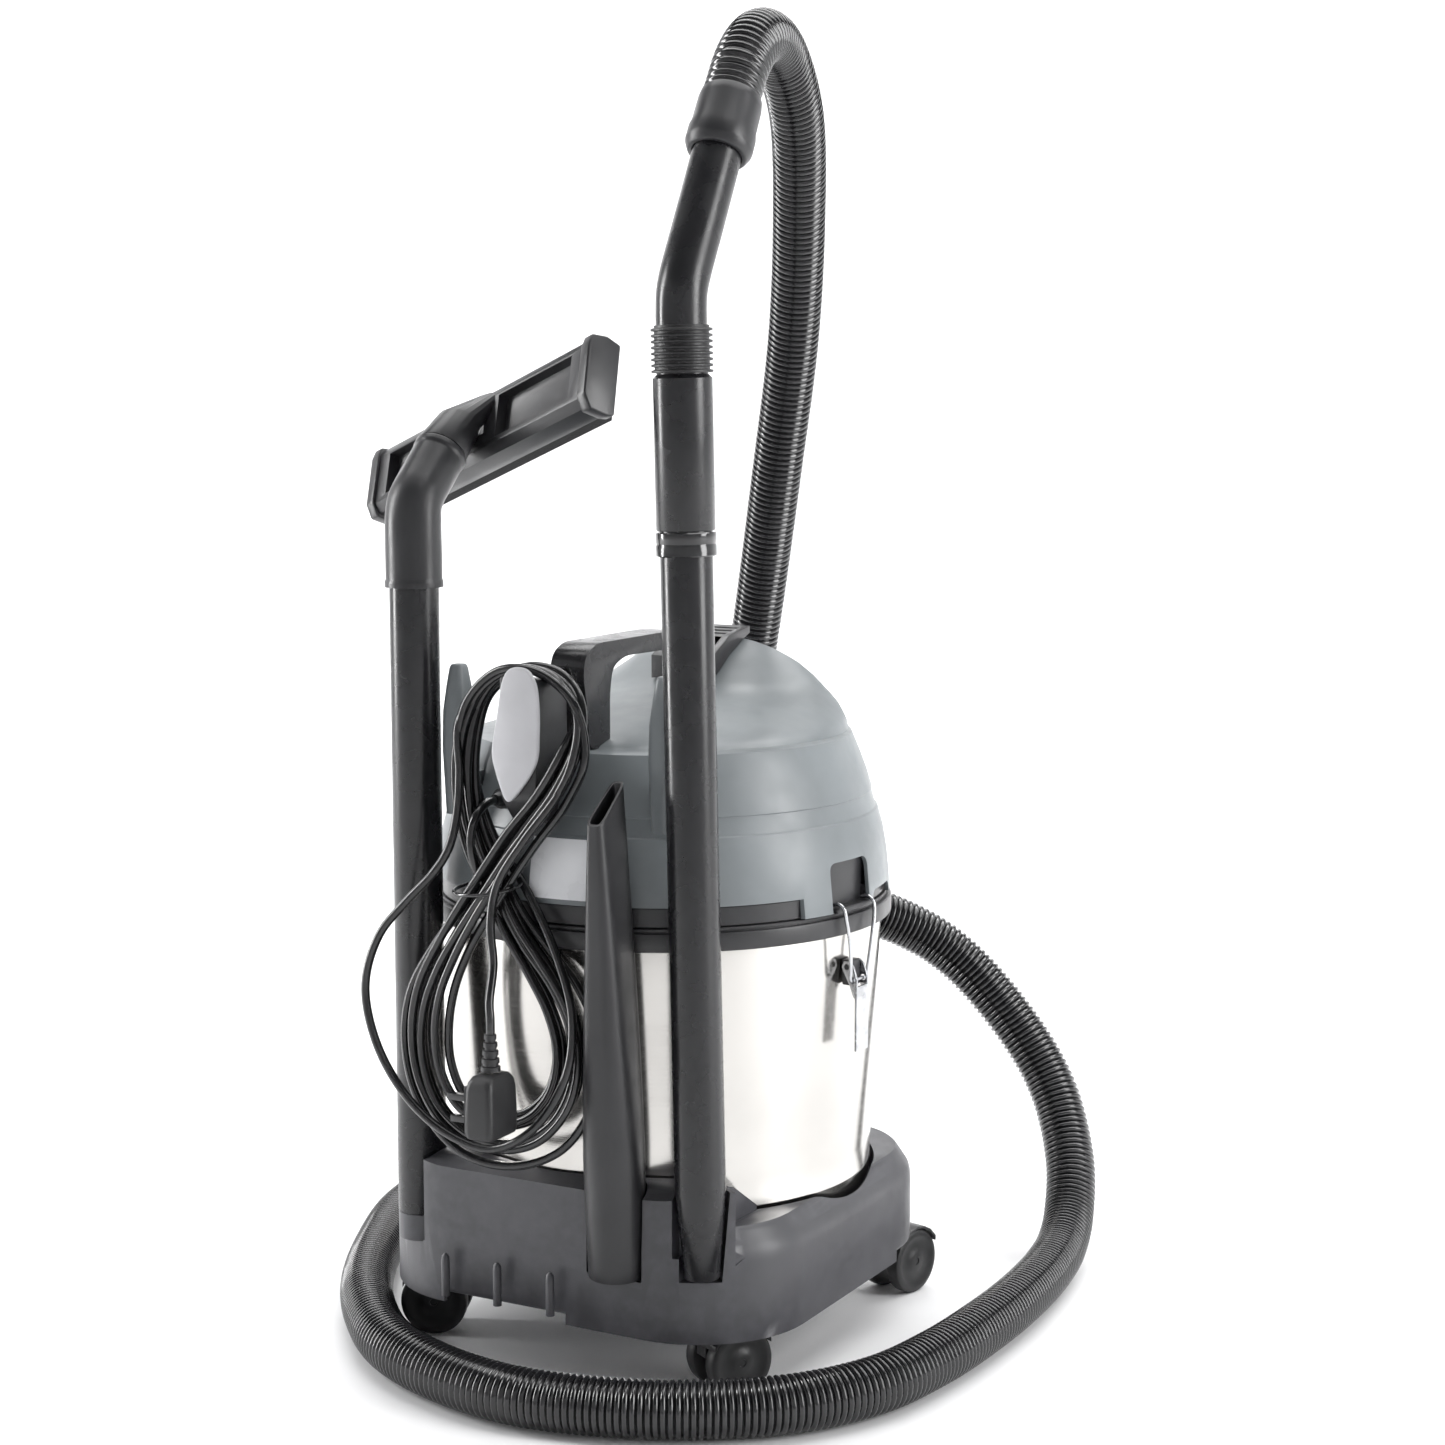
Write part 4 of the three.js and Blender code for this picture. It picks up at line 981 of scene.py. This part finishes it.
def chassis_shell():
    """The hollow skirt with the hollow deck on it and the well for the drum."""
    levels = [
        (2, SKIRT_LOW), (0.6, 61.2), (0, 63.5), (0, 112), (0.5, 118), (1.8, 122.4), (4.4, 126.6),
        (9.4, 134), (11, 136.4), (13, SKIRT_HIGH),
    ]
    rings = [[(x, y, z) for x, y in chassis_outline(inset)] for inset, z in levels]
    body = loft("chassis", rings)
    deck = common(chassis_solid("deck", 0, 64, DECK_HIGH), deck_solid("deck_profile", 0, 140))
    join(body, deck)
    cut(body, chassis_solid("hollow", WALL, 0, 112.5))
    whole = chassis_solid("deck_hollow", WALL, 0, DECK_HIGH)
    inside = common(whole, deck_solid("deck_profile", WALL, 140 - WALL))
    return cut(body, cut(inside, post("well", 0, 0, -10, 220, 176.5, sides=ROUND)))


def add_lip_and_ribs(body):
    """The lip under the skirt's rear corners, open in the middle, and the ribs on the rear face."""
    for x0, x1 in ((20, 210), (-210, -92)):
        lip = cut(chassis_solid("lip", 0, LIP_LOW, 66), chassis_solid("lip_inside", WALL, 0, 100))
        join(body, common(lip, box("reach", x0, x1, -240, 72, 0, 100)))
    angles = [i * math.pi / 8 for i in range(16)]
    for x in RIB_XS:
        rings = [
            [(x + r * math.cos(a), RIB_Y + r * math.sin(a), z) for a in angles]
            for z, r in ((61, 3.4), (89, 3.4), (93, 2.8), (95, 1))
        ]
        join(body, loft("rib", rings))


def chassis():
    body = chassis_shell()
    add_lip_and_ribs(body)
    lx, ly = LEFT_WAND
    rx, ry = RIGHT_WAND_FOOT
    foot = CREVICE_FOOT
    up = (CREVICE_HEAD - CREVICE_FOOT).normalized()
    raised = common(chassis_solid("deck", 0, 20, DECK_HIGH), deck_solid("deck_profile", 0, 200))
    footprint = join(chassis_solid("deck", 0, 20, SKIRT_HIGH), raised)
    bosses = join(
        post("boss", lx, ly, 91, 200, 25),
        between("boss", foot - up * 7, foot + up * 90, SHOULDER + 5),
        post("boss", rx, ry, 94, 200, 25),
    )
    join(body, common(bosses, footprint))
    for x, y, *_ in CASTERS.values():
        join(body, post("stem_boss", x, y, 69, 114.5, 14))
    cut(
        body,
        post("well", 0, 0, 117.7, 260, 172.5, sides=ROUND),
        post("pocket", lx, ly, 97, 220, 20.7),
        box("pocket", lx - 16, lx + 12, REAR_WALL, ly, 97, 220),
        between("pocket", foot - up, foot + up * 120, SHOULDER + 1),
        box("pocket", foot.x - 23.5, foot.x + 24.5, REAR_WALL, foot.y, 97, 220),
        post("pocket", rx - 0.5, ry, 100, 172, 15.5, 21.5),
        box("pocket", rx - 15, rx + 14, REAR_WALL, ry, 100, 118),
        box("pocket", rx - 20, rx + 19, REAR_WALL, ry, 118, 220),
    )
    join(body, post("peg", lx, ly, 96, 150, 16.2), post("peg", lx, ly, 96, 116.7, 18.8))
    for x, y, *_ in CASTERS.values():
        cut(body, post("stem", x, y, 50, 101, 5.5))
    bevelled(body, 0.9, 2, 40)
    finished(body, "machine", CHASSIS_GREY, "chassis_grey", "chassis")


# -------- wands and tools
WAND_OUTER, WAND_INNER = 19.2, 17.2
LEFT_WAND = (-125, -166)


def left_wand():
    x, y = LEFT_WAND
    here = Matrix.Translation((x, y, 0))
    profile = [
        (WAND_INNER, 117), (WAND_OUTER - 0.6, 117), (WAND_OUTER, 117.8), (WAND_OUTER, 648),
        (WAND_INNER, 648),
    ]
    tube = lathe("left_tube", profile, 72, matrix=here)
    finished(tube, "left_wand", WAND_BLACK, "matte_black", "left_wand")
    slope = math.sqrt(0.5)

    def along(s):
        return (0, slope * s, 675 + slope * s)

    route = [(0, 0, 611), (0, 0, 636), (0, 0, 664), (0, 2, 674.5), along(10), along(30), along(54.4)]

    def radius(s):
        rim_swell = 0.8 if s < 5 else 0
        joint_swell = 0.7 if s > 112 else 0
        return 21.8 - 1.2 * min(1, max(0, (s - 50) / 30)) + rim_swell + joint_swell

    elbow = sweep("elbow", spline(route, 1.5), radius, 64, here)
    bore = [(WAND_OUTER + 0.4, 600), (WAND_OUTER + 0.4, 648.5)]
    cut(elbow, lathe("bore", bore, 64, closed=False, matrix=here))
    bevelled(elbow, 0.7)
    finished(elbow, "left_wand", BLACK, "matte_black", "nozzle_elbow")


def nozzle():
    finished(cad_copy("nozzle_body", 0.9, 30), "floor_nozzle", BLACK, "matte_black", "nozzle_body")
    for side in ("left", "right"):
        cap = cad_copy("nozzle_end_cap_" + side, 1.5, 30, 3)
        finished(cap, "floor_nozzle", BLACK, "gloss_black", "nozzle_end_cap_" + side)
        roller = cad_copy("nozzle_roller_" + side, 0.8)
        finished(roller, "nozzle_roller_" + side, RUBBER, "rubber", "nozzle_roller_" + side)
    for side in ("front", "back"):
        strip = cad_copy("nozzle_bristles_" + side)
        finished(strip, "floor_nozzle", BRISTLE, "bristle", "nozzle_bristles_" + side)


CREVICE_FOOT, CREVICE_HEAD = Vector((63, -181, 98)), Vector((70, -205, 474))
CREVICE_LENGTH = 378
# The tool widens from its foot to a shoulder, and from there narrows to a flat tip.
CREVICE_FOOT_RADIUS, SHOULDER, SHOULDER_AT = 21.5, 23.5, 90
TIP_ACROSS, TIP_ALONG = 5.5, 19


def crevice_tool():
    direction = (CREVICE_HEAD - CREVICE_FOOT).normalized()
    turn = Vector((0, 0, 1)).rotation_difference(direction).to_matrix().to_4x4()
    here = Matrix.Translation(CREVICE_FOOT) @ turn

    def shell(name, inset, low, high):
        rings = []
        for i in range(41):
            s = low + (high - low) * i / 40
            flatness = min(1, max(0, (s - SHOULDER_AT) / (CREVICE_LENGTH - SHOULDER_AT)))
            body = CREVICE_FOOT_RADIUS + (SHOULDER - CREVICE_FOOT_RADIUS) * min(1, s / SHOULDER_AT)
            a = body + (TIP_ACROSS - SHOULDER) * flatness - inset
            b = body + (TIP_ALONG - SHOULDER) * flatness - inset
            power = 2 + 3 * flatness
            ring = []
            for k in range(64):
                angle = 2 * math.pi * k / 64
                c, d = math.cos(angle), math.sin(angle)
                scale = (abs(c) ** power + abs(d) ** power) ** (-1 / power)
                ring.append((a * c * scale, b * d * scale, s))
            rings.append(ring)
        return loft(name, rings, here)

    tool = shell("crevice", 0, 0, CREVICE_LENGTH + 2)
    cut(tool, shell("bore", 1.8, -2, CREVICE_LENGTH + 12))
    slope = [
        (-30, 348), (-19, 352), (19, CREVICE_LENGTH), (30, CREVICE_LENGTH + 6), (30, 460), (-30, 460),
    ]
    cut(tool, outline_solid("mouth", slope, from_side, -30, 30, here))
    bevelled(tool, 0.5)
    finished(tool, "crevice_tool", BLACK, "matte_black", "crevice_tool")


RIGHT_WAND_FOOT = (132, -172)
RIGHT_WAND = Matrix.Translation((*RIGHT_WAND_FOOT, 103)) @ Matrix.Rotation(-math.radians(1.33), 4, "Y")
HANDLE_ANGLE = math.radians(30)
HANDLE_BEND = 730


def right_wand():
    profile = [
        (11.6, 1), (12.8, 1), (13.4, 1.8), (WAND_OUTER - 0.6, 62), (WAND_OUTER, 68), (WAND_OUTER, 585),
        (WAND_INNER, 585), (WAND_INNER, 62),
    ]
    tube = lathe("right_tube", profile, 72, matrix=RIGHT_WAND)
    finished(tube, "machine", WAND_BLACK, "matte_black", "right_wand")
    band = [
        (19.5, 540.4), (21.6, 540.2), (22.3, 541), (22.3, 548), (21.9, 548.6), (21.9, 549.6),
        (22.3, 550.2), (22.3, 557), (21.6, 557.8), (19.5, 557.8),
    ]
    ring = lathe("clamp_ring", band, 72, matrix=RIGHT_WAND)
    finished(ring, "machine", GLOSS, "gloss_black", "wand_ring")

    def along(s):
        return (0, math.sin(HANDLE_ANGLE) * s, HANDLE_BEND + math.cos(HANDLE_ANGLE) * s)

    route = [(0, 0, 600), (0, 0, 660), (0, 0, 716), (0, 1.5, 729), along(12), along(60), along(150)]
    pipe = sweep("handle_pipe", spline(route, 2), 18.6, 64, RIGHT_WAND)
    sleeve = [
        (19.6, 558.6), (20.9, 558.6), (21.6, 559.6), (21.6, 668), (18.6, 671), (17, 671), (17, 590),
        (19.6, 590),
    ]
    merge(pipe, lathe("sleeve", sleeve, 72, matrix=RIGHT_WAND))
    finished(pipe, "machine", WAND_BLACK, "matte_black", "handle_tube")
    collar = [(19, 671.8)]
    for i in range(8):
        low = 672 + 4.25 * i
        collar += [(22, low), (22.4, low + 0.4), (22.4, low + 1.5), (22, low + 1.9)]
        collar += [(20, low + 2.3), (20, low + 4)]
    collar.append((19, 706))
    rings = lathe("grip_rings", collar, 72, matrix=RIGHT_WAND)
    finished(rings, "machine", RUBBER, "rubber", "ribbed_collar")
    head = RIGHT_WAND @ Matrix.Translation((0, 0, HANDLE_BEND)) @ Matrix.Rotation(-HANDLE_ANGLE, 4, "X")
    flared = [
        (19.2, 115), (21.4, 115), (22.6, 115.8), (25.2, 121), (25.5, 123), (25.4, 133), (24.3, 138),
        (24, 158), (23.2, 164), (22.3, 165.5), (22.3, 160), (16, 158), (16, 150.8), (19.2, 150.8),
    ]
    return black_piece(lathe("swivel_cuff", flared, 72, matrix=head), "hose_cuff")


def inlet():
    forward = Matrix.Translation((0, 0, INLET_Z)) @ Matrix.Rotation(math.radians(-90), 4, "X")
    port = [
        (20.4, 164), (23.6, 164), (23.6, 178.6), (36, 178.6), (36, 182.6), (35, 184), (24.4, 184),
        (23.6, 185), (23.6, 197), (22.8, 198), (20.4, 198),
    ]
    black_piece(lathe("port", port, 72, matrix=forward), "inlet_port")
    plug_in = [
        (16, 180), (19.2, 180), (20, 181), (20, 199), (26, 199), (26.5, 200), (26.2, 214),
        (24.8, 231), (24, 232), (21.5, 232), (21.5, 224), (16, 224),
    ]
    return black_piece(lathe("connector", plug_in, 72, matrix=forward), "hose_connector")


# -------- what stays as the CAD has it
def carried_over():
    """Small and inner pieces that keep their CAD shape and get a material."""
    kept = {
        "head_seal": RUBBER, "switch_knob": BLACK, "cord_gland": RUBBER, "fan_housing": BLACK,
        "motor": MOTOR, "motor_shaft": STEEL, "impeller": STEEL, "float_cage": BLACK,
        "float_ball": FLOAT, "filter_cartridge": PAPER, "filter_seal": RUBBER, "filter_cap": RUBBER,
    }
    for node, material in kept.items():
        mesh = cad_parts[node].data
        mesh.materials.clear()
        mesh.materials.append(material)


# -------- studio
def floor():
    """A pale floor that curves up into a wall far off all round."""
    sides = 120
    middle = 600
    bowl = ((5200, 0), (6600, 60), (7400, 500), (7800, 1500), (7900, 5200))
    rise = spline([(r, 0, z) for r, z in bowl], 150)
    rings = [(0.5, 0), *((p.x, p.z) for p in rise)]
    angles = [math.radians(3 * i) for i in range(sides)]
    verts = [(r * math.cos(a), middle + r * math.sin(a), z) for r, z in rings for a in angles]
    sheet = new_object("studio_floor", verts, grid_faces(len(rings), sides, caps=False))
    s = Surface("studio_paper")
    s.link(s.mix(s.noise(3, 4), (0.86, 0.86, 0.865), (0.9, 0.9, 0.905)), s.shader.inputs["Base Color"])
    s.link(s.spread(s.noise(6, 3), 0.3, 0.7, 0.5, 0.65), s.shader.inputs["Roughness"])
    sheet.data.materials.append(s.material)
    sheet.data.polygons.foreach_set("use_smooth", [True] * len(sheet.data.polygons))


def soft_light(name, place, aim, width, height, power):
    data = bpy.data.lights.new(name, "AREA")
    data.shape = "RECTANGLE"
    data.size = width
    data.size_y = height
    data.energy = power
    lamp = bpy.data.objects.new(name, data)
    lamp.location = place
    direction = Vector(aim) - Vector(place)
    lamp.rotation_euler = direction.to_track_quat("-Z", "Y").to_euler()
    bpy.context.collection.objects.link(lamp)


def lights():
    world = bpy.data.worlds.new("studio")
    world.use_nodes = True
    shade = world.node_tree.nodes["Background"]
    shade.inputs["Color"].default_value = (0.96, 0.97, 1.0, 1)
    shade.inputs["Strength"].default_value = 0.13
    bpy.context.scene.world = world
    soft_light("overhead", (-0.2, 1.7, 4.4), (-0.2, 1.5, 0), 6.0, 4.8, 290)
    soft_light("left_strip", (-2.2, -0.9, 1.1), (0, 0, 0.6), 0.35, 2.2, 60)
    soft_light("right_box", (2.6, 0.3, 1.3), (0, 0, 0.5), 1.0, 2.2, 60)
    soft_light("backdrop", (-1.8, 2.4, 3.9), (-1.8, 4.7, 1.8), 9.0, 1.2, 420)


# -------- assembly
CUFF = right_wand()
CONNECTOR = inlet()
hose()
mains_cord()
drum()
rim()
motor_base()
cover()
label()
handle()
hook()
latches()
casters()
chassis()
left_wand()
nozzle()
crevice_tool()
carried_over()
floor()
lights()
